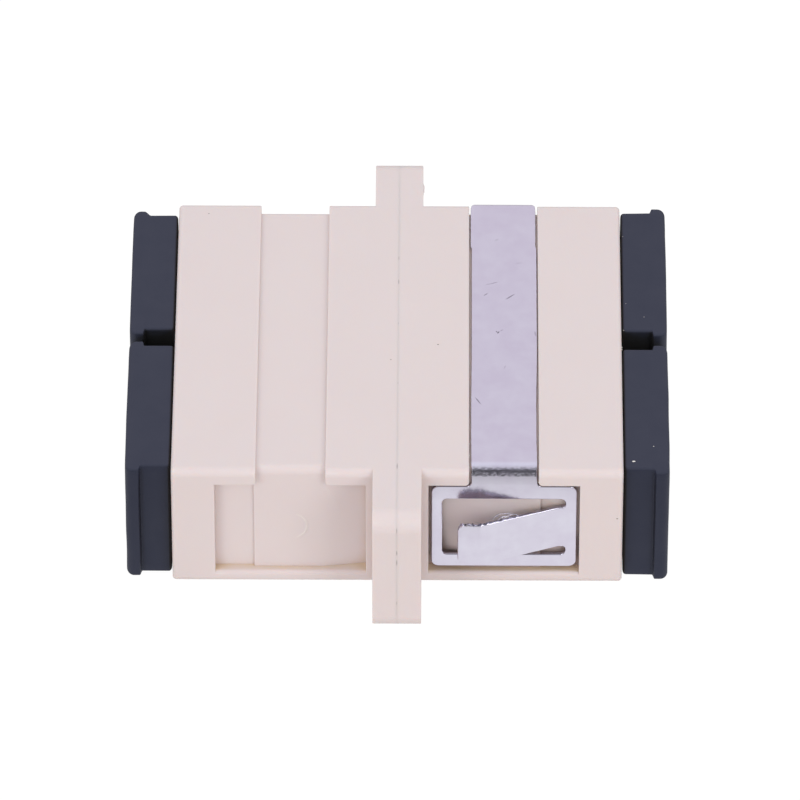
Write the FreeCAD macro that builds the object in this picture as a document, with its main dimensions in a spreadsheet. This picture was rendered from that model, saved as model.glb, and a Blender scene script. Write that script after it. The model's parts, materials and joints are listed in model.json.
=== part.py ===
"""Duplex fibre adapter with a panel clip and dust caps.

X is the fibre axis, with the seam of the two housing halves at X = 0.
Y is the row of the two channels, and Z is up, with the wide face that it rests on at Z = 0.
"""
import FreeCAD, Part
import os
import Sketcher

doc = FreeCAD.newDocument("DuplexAdapter")
sheet = doc.addObject("Spreadsheet::Sheet", "Sizes")

SIZES = {
    # Housing, millimetres
    "body_length": 28.1,
    "side_wall": 2.025,
    "cover_wall": 0.925,
    "body_edge_round": 0.5,
    "end_edge_round": 0.25,
    "ear_length": 4.45,
    "flange_thickness": 3.04,
    "flange_corner_round": 1.2,
    "seam_chamfer": 0.04,
    "hole_offset": 2.5,
    "hole_diameter": 2.3,
    # Ports and the web that traps the latch holders
    "port_pitch": 12.7,
    "port_width": 9.05,
    "port_height": 7.45,
    "port_corner_round": 0.35,
    "keyway_width": 3.4,
    "keyway_length": 6.0,
    "web_thickness": 1.0,
    "web_clearance": 0.15,
    # Seat of the panel clip: groove over the wide face and recess on each narrow side
    "groove_offset": 2.51,
    "groove_width": 4.34,
    "groove_depth": 0.22,
    "recess_offset": 0.43,
    "recess_length": 9.41,
    "recess_bottom": 0.95,
    "recess_top_wall": 1.1,
    "recess_depth": 0.55,
    "neck_round": 0.25,
    "core_round": 0.5,
    "strip_width": 2.43,
    "strip_extra": 0.17,
    "ramp_length": 2.65,
    "ramp_extra": 0.35,
    # Panel clip
    "sheet_thickness": 0.25,
    "bend_round": 0.8,
    "strap_side_gap": 0.14,
    "strap_lift": 0.02,
    "clip_floor_gap": 0.05,
    "clip_slack": 0.5,
    "plate_side_gap": 0.17,
    "plate_bottom_gap": 0.3,
    "plate_top_gap": 0.37,
    "plate_corner_round": 0.5,
    "plate_neck_round": 0.3,
    "rail_width": 0.7,
    "lower_rail": 1.01,
    "upper_rail": 0.95,
    "window_corner_round": 0.3,
    "slot_height": 0.68,
    "slot_length": 0.4,
    # Spring tongue of the clip
    "toe_gap": 0.94,
    "tongue_rise": 1.7,
    "toe_run": 1.32,
    "toe_drop": 0.1,
    "tongue_root_gap": 0.06,
    "tongue_corner_round": 0.3,
    "tongue_bend_round": 0.4,
    # Latch holder
    "holder_fit": 0.075,
    "holder_thickness": 1.2,
    "seat_gap": 0.02,
    "tube_wall": 0.75,
    "tube_lip": 0.65,
    "lip_hole": 2.6,
    "arm_gap": 5.8,
    "arm_thickness": 0.75,
    "arm_width": 3.4,
    "arm_length": 8.4,
    "hook_length": 1.0,
    "hook_depth": 0.5,
    # Alignment sleeve
    "sleeve_length": 11.4,
    "sleeve_outside": 3.2,
    "sleeve_inside": 2.5,
    "sleeve_slit": 0.4,
    "sleeve_clearance": 0.05,
    # Dust cap
    "cap_gap": 0.05,
    "cap_drop": 0.1,
    "cap_side_fit": 0.1,
    "cap_height_fit": 0.175,
    "head_length": 2.85,
    "head_spacing": 0.8,
    "head_margin": 0.35,
    "rim_thickness": 0.98,
    "rim_overhang": 0.4,
    "head_corner_round": 0.3,
    "head_edge_round": 0.18,
    "rim_inner_round": 0.15,
    "skirt_length": 7.5,
    "skirt_wall": 0.55,
    "skirt_corner_round": 0.5,
    "end_wall": 1.0,
}
for row, (alias, value) in enumerate(SIZES.items(), start=1):
    sheet.set(f"A{row}", alias)
    sheet.set(f"B{row}", str(value))
    sheet.setAlias(f"B{row}", alias)
doc.recompute()

# Sizes that follow from the sheet, so that walls and gaps stay when another size changes
FOLLOWS = {
    "body_width": "port_pitch + port_width + 2 * side_wall",
    "body_height": "port_height + 2 * cover_wall",
    "flange_width": "body_width + 2 * ear_length",
    "hole_pitch": "body_width + 2 * hole_offset",
    "recess_start": "flange_thickness / 2 + recess_offset",
    "recess_height": "body_height - recess_bottom - recess_top_wall",
    "groove_start": "recess_start + groove_offset",
    "plate_height": "recess_height - plate_bottom_gap - plate_top_gap",
    "plate_length": "recess_length - 2 * plate_side_gap",
    "window_height": "plate_height - lower_rail - upper_rail",
    "window_length": "plate_length - 2 * rail_width",
    "tongue_run": "window_length - slot_length - tongue_root_gap - toe_run - toe_gap",
    "tube_diameter": "sleeve_outside + 2 * sleeve_clearance + 2 * tube_wall",
    "head_width": "port_pitch - head_spacing - 2 * rim_overhang",
    "head_height": "body_height - head_margin",
}


def named(text):
    """Write a formula out in references to the sheet."""
    parts = []
    for word in text.replace("(", " ( ").replace(")", " ) ").split():
        if word in FOLLOWS:
            parts.append(f"( {named(FOLLOWS[word])} )")
        else:
            parts.append(f"Sizes.{word}" if word in SIZES else word)
    return " ".join(parts)


def size(text):
    """The present value of a formula of the sheet's aliases, for choosing edges."""
    return float(sheet.evalExpression(named(text)))


def origin_plane(body, role):
    return next(item for item in body.Origin.OriginFeatures if item.Role == role)


def new_sketch(body, name, role, lift):
    sketch = body.newObject("Sketcher::SketchObject", name)
    sketch.AttachmentSupport = [(origin_plane(body, role), "")]
    sketch.MapMode = "FlatFace"
    sketch.setExpression("AttachmentOffset.Base.z", named(lift))
    return sketch


def pin(sketch, line, end, x, y, base=(-1, 1)):
    """Place one end of a line by two driven distances from a base point."""
    for kind, formula in (("DistanceX", x), ("DistanceY", y)):
        index = sketch.addConstraint(Sketcher.Constraint(kind, *base, line, end, size(formula)))
        sketch.setExpression(f"Constraints[{index}]", named(formula))


def closed_lines(sketch, corners):
    """Draw lines round the corners and join them end to end."""
    count = len(corners)
    for i in range(count):
        sketch.addGeometry(Part.LineSegment(corners[i], corners[(i + 1) % count]))
    for i in range(count):
        sketch.addConstraint(Sketcher.Constraint("Coincident", i, 2, (i + 1) % count, 1))


def polygon(body, name, role, points, lift="0"):
    """A closed outline with each corner placed by two formulas."""
    sketch = new_sketch(body, name, role, lift)
    closed_lines(sketch, [FreeCAD.Vector(size(x), size(y), 0) for x, y in points])
    for i, (x, y) in enumerate(points):
        pin(sketch, i, 1, x, y)
    return sketch


def rectangle(body, name, role, low, high, lift="0"):
    (left, bottom), (right, top) = low, high
    points = [(left, bottom), (right, bottom), (right, top), (left, top)]
    return polygon(body, name, role, points, lift)


def circle(body, name, role, centre, diameter, lift="0"):
    sketch = new_sketch(body, name, role, lift)
    middle = FreeCAD.Vector(size(centre[0]), size(centre[1]), 0)
    sketch.addGeometry(Part.Circle(middle, FreeCAD.Vector(0, 0, 1), size(diameter) / 2))
    pin(sketch, 0, 3, *centre)
    index = sketch.addConstraint(Sketcher.Constraint("Diameter", 0, size(diameter)))
    sketch.setExpression(f"Constraints[{index}]", named(diameter))
    return sketch


def add_feature(body, kind, name, sketch, length, reverse, midplane):
    before = body.Shape.Volume if body.Tip else 0.0
    feature = body.newObject(f"PartDesign::{kind}", name)
    feature.Profile = sketch
    feature.setExpression("Length", named(length))
    feature.Reversed = reverse
    feature.Midplane = midplane
    doc.recompute()
    changed = feature.Shape.Volume - before
    if (changed > 0) != (kind == "Pad") or abs(changed) < 1e-6:
        raise ValueError(f"{name} in {body.Label} changed the volume by {changed}")
    return feature


def pad(body, name, sketch, length, reverse=False, midplane=False):
    return add_feature(body, "Pad", name, sketch, length, reverse, midplane)


def pocket(body, name, sketch, length, reverse=False, midplane=False):
    return add_feature(body, "Pocket", name, sketch, length, reverse, midplane)


def mirror(body, name, originals, role="XZ_Plane"):
    feature = body.newObject("PartDesign::Mirrored", name)
    feature.Originals = originals
    feature.MirrorPlane = (origin_plane(body, role), [""])
    body.Tip = feature
    doc.recompute()
    return feature


def near(a, b):
    return abs(a - b) < 1e-4


def edges_along(feature, axis, test):
    """Names of straight edges along an axis whose middle passes the test."""
    names = []
    for index, edge in enumerate(feature.Shape.Edges, start=1):
        if edge.Curve.TypeId != "Part::GeomLine":
            continue
        box = edge.BoundBox
        spans = [box.XLength, box.YLength, box.ZLength]
        if spans["XYZ".index(axis)] < 1e-3 or sum(spans) - spans["XYZ".index(axis)] > 1e-3:
            continue
        if test(edge.CenterOfMass):
            names.append(f"Edge{index}")
    return names


def edges_on_plane(feature, axis, place, test):
    """Names of the edges that lie in one plane across an axis and pass the test."""
    names = []
    for index, edge in enumerate(feature.Shape.Edges, start=1):
        box = edge.BoundBox
        low, high = (getattr(box, axis + "Min"), getattr(box, axis + "Max"))
        if near(low, place) and near(high, place) and test(edge):
            names.append(f"Edge{index}")
    return names


def fillet(body, name, base, edges, radius):
    if not edges:
        raise ValueError(f"{name} in {body.Label} found no edges")
    feature = body.newObject("PartDesign::Fillet", name)
    feature.Base = (base, edges)
    feature.setExpression("Radius", named(radius))
    doc.recompute()
    return feature


def chamfer(body, name, base, edges, width):
    feature = body.newObject("PartDesign::Chamfer", name)
    feature.Base = (base, edges)
    feature.setExpression("Size", named(width))
    doc.recompute()
    return feature


def new_body(label, x="0", y="0", z="0", turn=0):
    """A body placed by three formulas and turned about Z."""
    body = doc.addObject("PartDesign::Body", label)
    body.Label = label
    body.Placement = FreeCAD.Placement(FreeCAD.Vector(), FreeCAD.Rotation(FreeCAD.Vector(0, 0, 1), turn))
    for axis, formula in zip("xyz", (x, y, z)):
        body.setExpression(f"Placement.Base.{axis}", named(formula))
    return body


PORT_SIDE = "port_pitch / 2"
SEAT_DEPTH = "holder_thickness + seat_gap"
WEB_FACE = f"{SEAT_DEPTH} + web_thickness"
CORE_SIDE = "body_width / 2 - recess_depth"
RECESS_TOP = "recess_bottom + recess_height"
RECESS_END = "recess_start + recess_length"
GROOVE_END = "groove_start + groove_width"


def port_section(body, name, width, height, lift="0"):
    """A rectangle round the axis of the channel on the far side."""
    low = (f"{PORT_SIDE} - ( {width} ) / 2", f"body_height / 2 - ( {height} ) / 2")
    high = (f"{PORT_SIDE} + ( {width} ) / 2", f"body_height / 2 + ( {height} ) / 2")
    return rectangle(body, name, "YZ_Plane", low, high, lift)


def housing_half(label, turn):
    """One moulded half: half of the flange, two ports, and the seat of the panel clip."""
    body = new_body(label, turn=turn)
    half_length = size("body_length / 2")
    half_width = size("body_width / 2")
    height = size("body_height")
    flange_face = size("flange_thickness / 2")

    outline = rectangle(body, "FlangeOutline", "YZ_Plane", ("-1 * flange_width / 2", "0"),
                        ("flange_width / 2", "body_height"))
    flange = pad(body, "Flange", outline, "flange_thickness / 2")
    corners = edges_along(flange, "X", lambda p: True)
    flange = fillet(body, "FlangeCorners", flange, corners, "flange_corner_round")
    chamfer(body, "SeamEdges", flange, edges_on_plane(flange, "X", 0, lambda edge: True), "seam_chamfer")
    outline = rectangle(body, "ShellOutline", "YZ_Plane", ("-1 * body_width / 2", "0"),
                        ("body_width / 2", "body_height"))
    shell = pad(body, "Shell", outline, "body_length / 2")
    long_edges = edges_along(shell, "X", lambda p: near(abs(p.y), half_width) and p.x > flange_face)
    rounded = fillet(body, "LongEdges", shell, long_edges, "body_edge_round")
    end_edges = edges_on_plane(rounded, "X", half_length, lambda edge: True)
    fillet(body, "EndEdges", rounded, end_edges, "end_edge_round")

    seat = pocket(body, "HolderSeat", port_section(body, "SeatOutline", "port_width", "port_height"),
                  SEAT_DEPTH, reverse=True)
    window = port_section(body, "WindowOutline", "arm_gap + 2 * arm_thickness + 2 * web_clearance",
                          "tube_diameter + 2 * web_clearance", SEAT_DEPTH)
    window = pocket(body, "HolderWindow", window, "web_thickness", reverse=True)
    port = port_section(body, "PortOutline", "port_width", "port_height", WEB_FACE)
    port = pocket(body, "Port", port, f"body_length / 2 - ( {WEB_FACE} )", reverse=True)
    keyway = rectangle(body, "KeywayOutline", "XY_Plane",
                       ("body_length / 2 - keyway_length", f"{PORT_SIDE} - keyway_width / 2"),
                       ("body_length / 2", f"{PORT_SIDE} + keyway_width / 2"))
    keyway = pocket(body, "Keyway", keyway, "body_height / 2 - port_height / 2", reverse=True)
    hole = circle(body, "HoleOutline", "YZ_Plane", ("hole_pitch / 2", "body_height / 2"), "hole_diameter")
    hole = pocket(body, "FlangeHole", hole, "flange_thickness / 2", reverse=True)
    channels = mirror(body, "OtherChannel", [seat, window, port, keyway, hole])
    port_places = [size(f"{PORT_SIDE} + port_width / 2"), size(f"{PORT_SIDE} - port_width / 2")]
    port_half = size("port_height / 2")
    web_face = size(WEB_FACE)

    def is_port_corner(p):
        level = near(abs(p.z - height / 2), port_half)
        return p.x > web_face and level and any(near(abs(p.y), place) for place in port_places)

    port_corners = edges_along(channels, "X", is_port_corner)
    fillet(body, "PortCorners", channels, port_corners, "port_corner_round")

    groove = rectangle(body, "GrooveOutline", "XY_Plane", ("groove_start", "-1 * body_width / 2"),
                       (GROOVE_END, "body_width / 2"), "body_height")
    pocket(body, "StrapGroove", groove, "groove_depth")
    points = [
        ("recess_start", "recess_bottom"), (RECESS_END, "recess_bottom"), (RECESS_END, RECESS_TOP),
        (GROOVE_END, RECESS_TOP), (GROOVE_END, "body_height"), ("groove_start", "body_height"),
        ("groove_start", RECESS_TOP), ("recess_start", RECESS_TOP),
    ]
    recess = polygon(body, "RecessOutline", "XZ_Plane", points, "body_width / 2")
    recess = pocket(body, "SideRecess", recess, "recess_depth")
    strip = rectangle(body, "StripOutline", "XZ_Plane", (f"{RECESS_END} - strip_width", "recess_bottom"),
                      (RECESS_END, RECESS_TOP), CORE_SIDE)
    strip = pocket(body, "SideStrip", strip, "strip_extra")
    floor = f"-1 * ( {CORE_SIDE} )"
    ramp = polygon(body, "RampOutline", "XY_Plane",
                   [("recess_start", floor), ("recess_start + ramp_length", floor),
                    ("recess_start", f"{floor} + ramp_extra")], "recess_bottom")
    ramp = pocket(body, "ToeRamp", ramp, "recess_height", reverse=True)
    sides = mirror(body, "OtherSide", [recess, strip, ramp])
    top, side = height - size("groove_depth"), size(CORE_SIDE)
    core = edges_along(sides, "X", lambda p: near(p.z, top) and near(abs(p.y), side))
    rounded = fillet(body, "CoreEdges", sides, core, "core_round")
    neck_places = (size("groove_start"), size(GROOVE_END))
    necks = edges_along(rounded, "Y", lambda p: near(p.z, size(RECESS_TOP))
                        and any(near(p.x, place) for place in neck_places))
    fillet(body, "NeckCorners", rounded, necks, "neck_round")
    return body


STRAP_START = "groove_start + strap_side_gap"
STRAP_END = f"{GROOVE_END} - strap_side_gap"
STRAP_TOP = "body_height - groove_depth + strap_lift + sheet_thickness"
CLIP_INSIDE = f"{CORE_SIDE} + clip_slack / 2"
CLIP_OUTSIDE = f"{CLIP_INSIDE} + sheet_thickness"
CLIP_SHIFT = "clip_slack / 2 - clip_floor_gap"
PLATE_START = "recess_start + plate_side_gap"
PLATE_END = f"{PLATE_START} + plate_length"
PLATE_BOTTOM = "recess_bottom + plate_bottom_gap"
PLATE_TOP = f"{PLATE_BOTTOM} + plate_height"
WINDOW_START = f"{PLATE_START} + rail_width"
WINDOW_END = f"{WINDOW_START} + window_length"
WINDOW_BOTTOM = f"{PLATE_BOTTOM} + lower_rail"
WINDOW_TOP = f"{WINDOW_BOTTOM} + window_height"
TONGUE_ROOT = f"{WINDOW_END} - slot_length"
TONGUE_BOTTOM = f"{WINDOW_BOTTOM} + slot_height"
TONGUE_TOP = f"{WINDOW_TOP} - slot_height"


def panel_clip():
    """A sheet stamping: a strap over the wide face and a plate with a window on each narrow side."""
    body = new_body("panel_clip", y=CLIP_SHIFT)
    under = f"{STRAP_TOP} - sheet_thickness"
    points = [
        (f"-1 * ( {CLIP_OUTSIDE} )", WINDOW_TOP), (f"-1 * ( {CLIP_INSIDE} )", WINDOW_TOP),
        (f"-1 * ( {CLIP_INSIDE} )", under), (CLIP_INSIDE, under), (CLIP_INSIDE, WINDOW_TOP),
        (CLIP_OUTSIDE, WINDOW_TOP), (CLIP_OUTSIDE, STRAP_TOP), (f"-1 * ( {CLIP_OUTSIDE} )", STRAP_TOP),
    ]
    section = polygon(body, "StrapSection", "YZ_Plane", points, STRAP_START)
    strap = pad(body, "Strap", section, f"{STRAP_END} - ( {STRAP_START} )")
    outer = edges_along(strap, "X", lambda p: near(p.z, size(STRAP_TOP)))
    bent = fillet(body, "OuterBends", strap, outer, "bend_round")
    inner = edges_along(bent, "X", lambda p: near(p.z, size(under)) and near(abs(p.y), size(CLIP_INSIDE)))
    fillet(body, "InnerBends", bent, inner, "bend_round - sheet_thickness")

    outline = rectangle(body, "PlateOutline", "XZ_Plane", (PLATE_START, PLATE_BOTTOM),
                        (PLATE_END, PLATE_TOP), CLIP_INSIDE)
    plate = pad(body, "Plate", outline, "sheet_thickness")
    points = [
        (WINDOW_START, WINDOW_BOTTOM), (WINDOW_END, WINDOW_BOTTOM), (WINDOW_END, TONGUE_BOTTOM),
        (TONGUE_ROOT, TONGUE_BOTTOM), (TONGUE_ROOT, TONGUE_TOP), (WINDOW_END, TONGUE_TOP),
        (WINDOW_END, WINDOW_TOP), (WINDOW_START, WINDOW_TOP),
    ]
    window = polygon(body, "WindowOutline", "XZ_Plane", points, CLIP_OUTSIDE)
    window = pocket(body, "Window", window, "sheet_thickness")
    plates = mirror(body, "OtherPlate", [plate, window])

    def at(x_places, z_places):
        return lambda p: (any(near(p.x, size(x)) for x in x_places)
                          and any(near(p.z, size(z)) for z in z_places))

    corners = edges_along(plates, "Y", at((PLATE_START, PLATE_END), (PLATE_BOTTOM, PLATE_TOP)))
    last = fillet(body, "PlateCorners", plates, corners, "plate_corner_round")
    necks = edges_along(last, "Y", at((STRAP_START, STRAP_END), (PLATE_TOP,)))
    last = fillet(body, "PlateNecks", last, necks, "plate_neck_round")
    corners = edges_along(last, "Y", at((WINDOW_START,), (WINDOW_BOTTOM, WINDOW_TOP)))
    last = fillet(body, "WindowCorners", last, corners, "window_corner_round")
    levels = (WINDOW_BOTTOM, TONGUE_BOTTOM, TONGUE_TOP, WINDOW_TOP)
    slots = edges_along(last, "Y", at((WINDOW_END,), levels))
    fillet(body, "SlotEnds", last, slots, "slot_height * 0.49")
    return body


def clip_tongue(label, side):
    """A bent spring tongue: it rises out of the plate from its root, and its toe turns back."""
    body = new_body(label, y=CLIP_SHIFT)
    sketch = new_sketch(body, "TongueSection", "XY_Plane", TONGUE_BOTTOM)
    root = FreeCAD.Vector(size(f"{TONGUE_ROOT} - tongue_root_gap"), side * size(CLIP_OUTSIDE), 0)
    bend = root + FreeCAD.Vector(-size("tongue_run"), side * size("tongue_rise"), 0)
    end = bend + FreeCAD.Vector(-size("toe_run"), -side * size("toe_drop"), 0)
    inward = FreeCAD.Vector(0, -side * size("sheet_thickness"), 0)
    closed_lines(sketch, [root, bend, end, end + inward, bend + inward, root + inward])
    pin(sketch, 0, 1, f"{TONGUE_ROOT} - tongue_root_gap", f"{side} * ( {CLIP_OUTSIDE} )")
    pin(sketch, 1, 1, "-1 * tongue_run", f"{side} * tongue_rise", base=(0, 1))
    pin(sketch, 2, 1, "-1 * toe_run", f"{-side} * toe_drop", base=(1, 1))
    for kind, first, second in (("Parallel", 0, 4), ("Parallel", 1, 3),
                                ("Perpendicular", 0, 5), ("Perpendicular", 1, 2)):
        sketch.addConstraint(Sketcher.Constraint(kind, first, second))
    for line in (2, 5):
        index = sketch.addConstraint(Sketcher.Constraint("Distance", line, size("sheet_thickness")))
        sketch.setExpression(f"Constraints[{index}]", named("sheet_thickness"))
    strip = pad(body, "Strip", sketch, f"{TONGUE_TOP} - ( {TONGUE_BOTTOM} )")
    tip = strip.Shape.BoundBox.XMin
    corners = []
    for index, edge in enumerate(strip.Shape.Edges, start=1):
        flat = edge.BoundBox.ZLength < 1e-6
        short = near(edge.Length, size("sheet_thickness"))
        if flat and short and edge.BoundBox.XMin < tip + 0.1:
            corners.append(f"Edge{index}")
    rounded = fillet(body, "ToeCorners", strip, corners, "tongue_corner_round")
    bends = edges_along(rounded, "Z", lambda p: near(p.y, bend.y))
    fillet(body, "ToeBend", rounded, bends, "tongue_bend_round")
    return body


def latch_holder(label, side, turn):
    """A plate, a tube for half of the sleeve, and two hooked arms that catch a plug."""
    body = new_body(label, y=f"{side} * {PORT_SIDE}", z="body_height / 2", turn=turn)
    half_width = "( port_width / 2 - holder_fit )"
    half_height = "( port_height / 2 - holder_fit )"
    outline = rectangle(body, "PlateOutline", "YZ_Plane", (f"-1 * {half_width}", f"-1 * {half_height}"),
                        (half_width, half_height))
    pad(body, "Plate", outline, "holder_thickness")
    bore_length = "( sleeve_length / 2 + sleeve_clearance )"
    tube = circle(body, "TubeOutline", "YZ_Plane", ("0", "0"), "tube_diameter")
    pad(body, "Tube", tube, f"{bore_length} + tube_lip")
    bore = circle(body, "BoreOutline", "YZ_Plane", ("0", "0"), "sleeve_outside + 2 * sleeve_clearance")
    pocket(body, "Bore", bore, bore_length, reverse=True)
    hole = circle(body, "LipOutline", "YZ_Plane", ("0", "0"), "lip_hole", bore_length)
    pocket(body, "LipHole", hole, "tube_lip", reverse=True)
    inner, outer = "arm_gap / 2", "arm_gap / 2 + arm_thickness"
    tip = "holder_thickness + arm_length"
    points = [
        ("holder_thickness", inner), (f"{tip} - hook_length", inner),
        (f"{tip} - hook_length", f"{inner} - hook_depth"),
        (f"{tip} - hook_length / 2", f"{inner} - hook_depth"), (tip, inner),
        (tip, outer), ("holder_thickness", outer),
    ]
    arm = polygon(body, "ArmOutline", "XY_Plane", points)
    arm = pad(body, "Arm", arm, "arm_width", midplane=True)
    mirror(body, "OtherArm", [arm])
    return body


def alignment_sleeve(label, side):
    """A split tube that lines up the two ferrules of a channel."""
    body = new_body(label, y=f"{side} * {PORT_SIDE}", z="body_height / 2")
    outside = circle(body, "Outside", "YZ_Plane", ("0", "0"), "sleeve_outside")
    pad(body, "Tube", outside, "sleeve_length", midplane=True)
    inside = circle(body, "Inside", "YZ_Plane", ("0", "0"), "sleeve_inside")
    pocket(body, "Bore", inside, "sleeve_length", midplane=True)
    slit = rectangle(body, "SlitOutline", "YZ_Plane", ("-1 * sleeve_slit / 2", "0"),
                     ("sleeve_slit / 2", "sleeve_outside"))
    pocket(body, "Slit", slit, "sleeve_length", midplane=True)
    return body


def dust_cap(label, side, end):
    """A T-shaped head outside the port and a hollow skirt inside it."""
    body = new_body(label, x=f"{end} * ( body_length / 2 + cap_gap )", y=f"{side} * {PORT_SIDE}",
                    z="body_height / 2 - cap_drop", turn=0 if end > 0 else 180)
    rim = "head_width / 2 + rim_overhang"
    step = "head_length - rim_thickness"
    points = [
        ("0", "-1 * head_width / 2"), (step, "-1 * head_width / 2"), (step, f"-1 * ( {rim} )"),
        ("head_length", f"-1 * ( {rim} )"), ("head_length", rim), (step, rim),
        (step, "head_width / 2"), ("0", "head_width / 2"),
    ]
    head = pad(body, "Head", polygon(body, "HeadOutline", "XY_Plane", points), "head_height", midplane=True)
    half_head = size("head_width / 2")
    inner = edges_along(head, "Z", lambda p: near(p.x, size(step)) and near(abs(p.y), half_head))
    last = fillet(body, "RimInner", head, inner, "rim_inner_round")
    corners = edges_along(last, "Z", lambda p: near(p.x, size("head_length")))
    last = fillet(body, "RimCorners", last, corners, "head_corner_round")
    top = size("head_height / 2")

    def off_the_housing(edge):
        return not near(edge.CenterOfMass.x, 0)

    rims = [name for z in (top, -top) for name in edges_on_plane(last, "Z", z, off_the_housing)]
    fillet(body, "HeadEdges", last, rims, "head_edge_round")
    half_skirt = "( port_width / 2 - cap_side_fit )"
    half_tall = "( port_height / 2 - cap_height_fit )"
    outline = rectangle(body, "SkirtOutline", "YZ_Plane", (f"-1 * {half_skirt}", f"-1 * {half_tall}"),
                        (half_skirt, half_tall))
    skirt = pad(body, "Skirt", outline, "skirt_length", reverse=True)
    corners = edges_along(skirt, "X", lambda p: p.x < 0)
    fillet(body, "SkirtCorners", skirt, corners, "skirt_corner_round")
    cavity = rectangle(body, "CavityOutline", "YZ_Plane",
                       (f"-1 * {half_skirt} + skirt_wall", f"-1 * {half_tall} + skirt_wall"),
                       (f"{half_skirt} - skirt_wall", f"{half_tall} - skirt_wall"),
                       "head_length - end_wall")
    pocket(body, "Cavity", cavity, "skirt_length + head_length - end_wall")
    return body


SIDES = (("front", -1), ("back", 1))
ENDS = (("left", -1, 180), ("right", 1, 0))

bodies = [panel_clip()]
for end_name, end, turn in ENDS:
    bodies.append(housing_half(f"housing_half_{end_name}", turn))
for side_name, side in SIDES:
    bodies.append(clip_tongue(f"clip_tongue_{side_name}", side))
    bodies.append(alignment_sleeve(f"alignment_sleeve_{side_name}", side))
    for end_name, end, turn in ENDS:
        bodies.append(latch_holder(f"latch_holder_{side_name}_{end_name}", side, turn))
        bodies.append(dust_cap(f"dust_cap_{side_name}_{end_name}", side, end))
doc.recompute()

failed = [item.Label for item in doc.Objects if {"Invalid", "Error"} & set(item.State)]
failed += [body.Label for body in bodies if body.Shape.isNull() or not body.Shape.isValid()]
if failed:
    raise RuntimeError(f"failed: {failed}")
os.makedirs("parts", exist_ok=True)
for body in bodies:
    body.Shape.exportStep(f"parts/{body.Label}.step")
    print(body.Label, len(body.Shape.Solids), round(body.Shape.Volume, 3))
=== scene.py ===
"""Looks of a duplex fibre adapter: moulded housing, stamped panel clip, dust caps and inner parts.

X is the fibre axis, Y the row of the two channels and Z is up. Sizes are real, in metres.
"""

import json
import math

import bmesh
import bpy
from mathutils import Matrix, Vector, geometry, noise

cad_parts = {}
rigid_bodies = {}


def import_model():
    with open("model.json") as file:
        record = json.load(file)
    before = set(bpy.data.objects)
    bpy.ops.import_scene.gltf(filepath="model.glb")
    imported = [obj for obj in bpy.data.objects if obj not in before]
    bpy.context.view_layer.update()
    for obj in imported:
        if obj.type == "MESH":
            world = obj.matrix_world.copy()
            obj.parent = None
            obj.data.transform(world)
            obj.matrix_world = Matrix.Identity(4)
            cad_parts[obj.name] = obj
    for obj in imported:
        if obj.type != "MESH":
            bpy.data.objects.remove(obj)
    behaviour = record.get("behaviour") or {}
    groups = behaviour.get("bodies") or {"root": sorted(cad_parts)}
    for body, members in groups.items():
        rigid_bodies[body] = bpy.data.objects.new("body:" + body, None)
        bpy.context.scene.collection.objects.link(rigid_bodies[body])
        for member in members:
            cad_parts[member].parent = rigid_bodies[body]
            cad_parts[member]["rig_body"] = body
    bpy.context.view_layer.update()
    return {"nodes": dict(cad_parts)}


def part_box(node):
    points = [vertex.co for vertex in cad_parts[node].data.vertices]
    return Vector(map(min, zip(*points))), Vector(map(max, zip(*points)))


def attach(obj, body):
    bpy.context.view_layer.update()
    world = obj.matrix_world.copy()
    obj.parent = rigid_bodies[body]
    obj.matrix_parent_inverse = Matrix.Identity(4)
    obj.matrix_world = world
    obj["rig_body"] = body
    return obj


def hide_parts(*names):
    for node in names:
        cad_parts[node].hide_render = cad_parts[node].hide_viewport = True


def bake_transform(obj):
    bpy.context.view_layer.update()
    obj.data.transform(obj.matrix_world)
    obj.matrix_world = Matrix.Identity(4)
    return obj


bl_info = {
    "name": "Duplex Fibre Adapter",
    "version": (1, 0, 0),
    "blender": (4, 5, 0),
    "location": "View3D > Sidebar > Adapter",
    "description": "Finishes the pieces of a duplex fibre adapter and sets a studio round it",
    "category": "Object",
}

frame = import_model()
MM = 0.001
SIDES = (("front", -1), ("back", 1))
ENDS = (("left", -1), ("right", 1))
CLIP_LOW, CLIP_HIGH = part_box("panel_clip")
WHITE = (1.0, 1.0, 1.0, 1.0)
# How each cap sits, in millimetres: extra half width of its head, shift along the row, slope of its rim
CAP_SEATS = {
    "dust_cap_front_left": (0.08, 0.03, 0.16), "dust_cap_front_right": (0.05, -0.16, 0.16),
    "dust_cap_back_left": (-0.07, 0.1, 0.44), "dust_cap_back_right": (0.14, 0.29, 0.16),
}
# Scratches on the strap: place X, Y and length in millimetres, turn in degrees, strength
SCRATCHES = (
    (7.06, 3.75, 0.95, 42, 0.8), (6.95, 3.62, 0.5, 40, 0.5), (5.51, 3.95, 0.45, 42, 0.6),
    (6.0, 5.05, 0.8, 22, 0.4), (5.7, 4.95, 0.5, 15, 0.25), (6.2, 9.25, 0.4, 30, 0.25),
    (6.3, 0.3, 0.3, 60, 1.0), (6.2, 0.36, 0.22, 120, 0.9), (6.5, 0.5, 0.35, 45, 0.3),
    (8.62, 0.2, 0.6, 95, 0.5), (5.02, -6.2, 0.9, 118, 0.75), (6.7, -3.0, 0.5, 70, 0.2),
    (7.6, 7.0, 0.5, 10, 0.2),
)
# Dark bits in the seam: place Y, Z and size in millimetres, strength
SEAM_BITS = (
    (7.5, 9.3, 0.5, 0.35), (5.2, 9.3, 0.6, 0.5), (1.2, 9.3, 0.3, 0.2), (-12.3, 9.3, 0.7, 0.6),
    (-4.5, 9.3, 0.3, 0.2), (-17.25, 8.4, 0.5, 0.5), (-17.35, 6.6, 0.5, 0.6), (-17.35, 5.8, 0.6, 0.6),
    (-17.35, 2.4, 0.4, 0.3),
)
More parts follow.
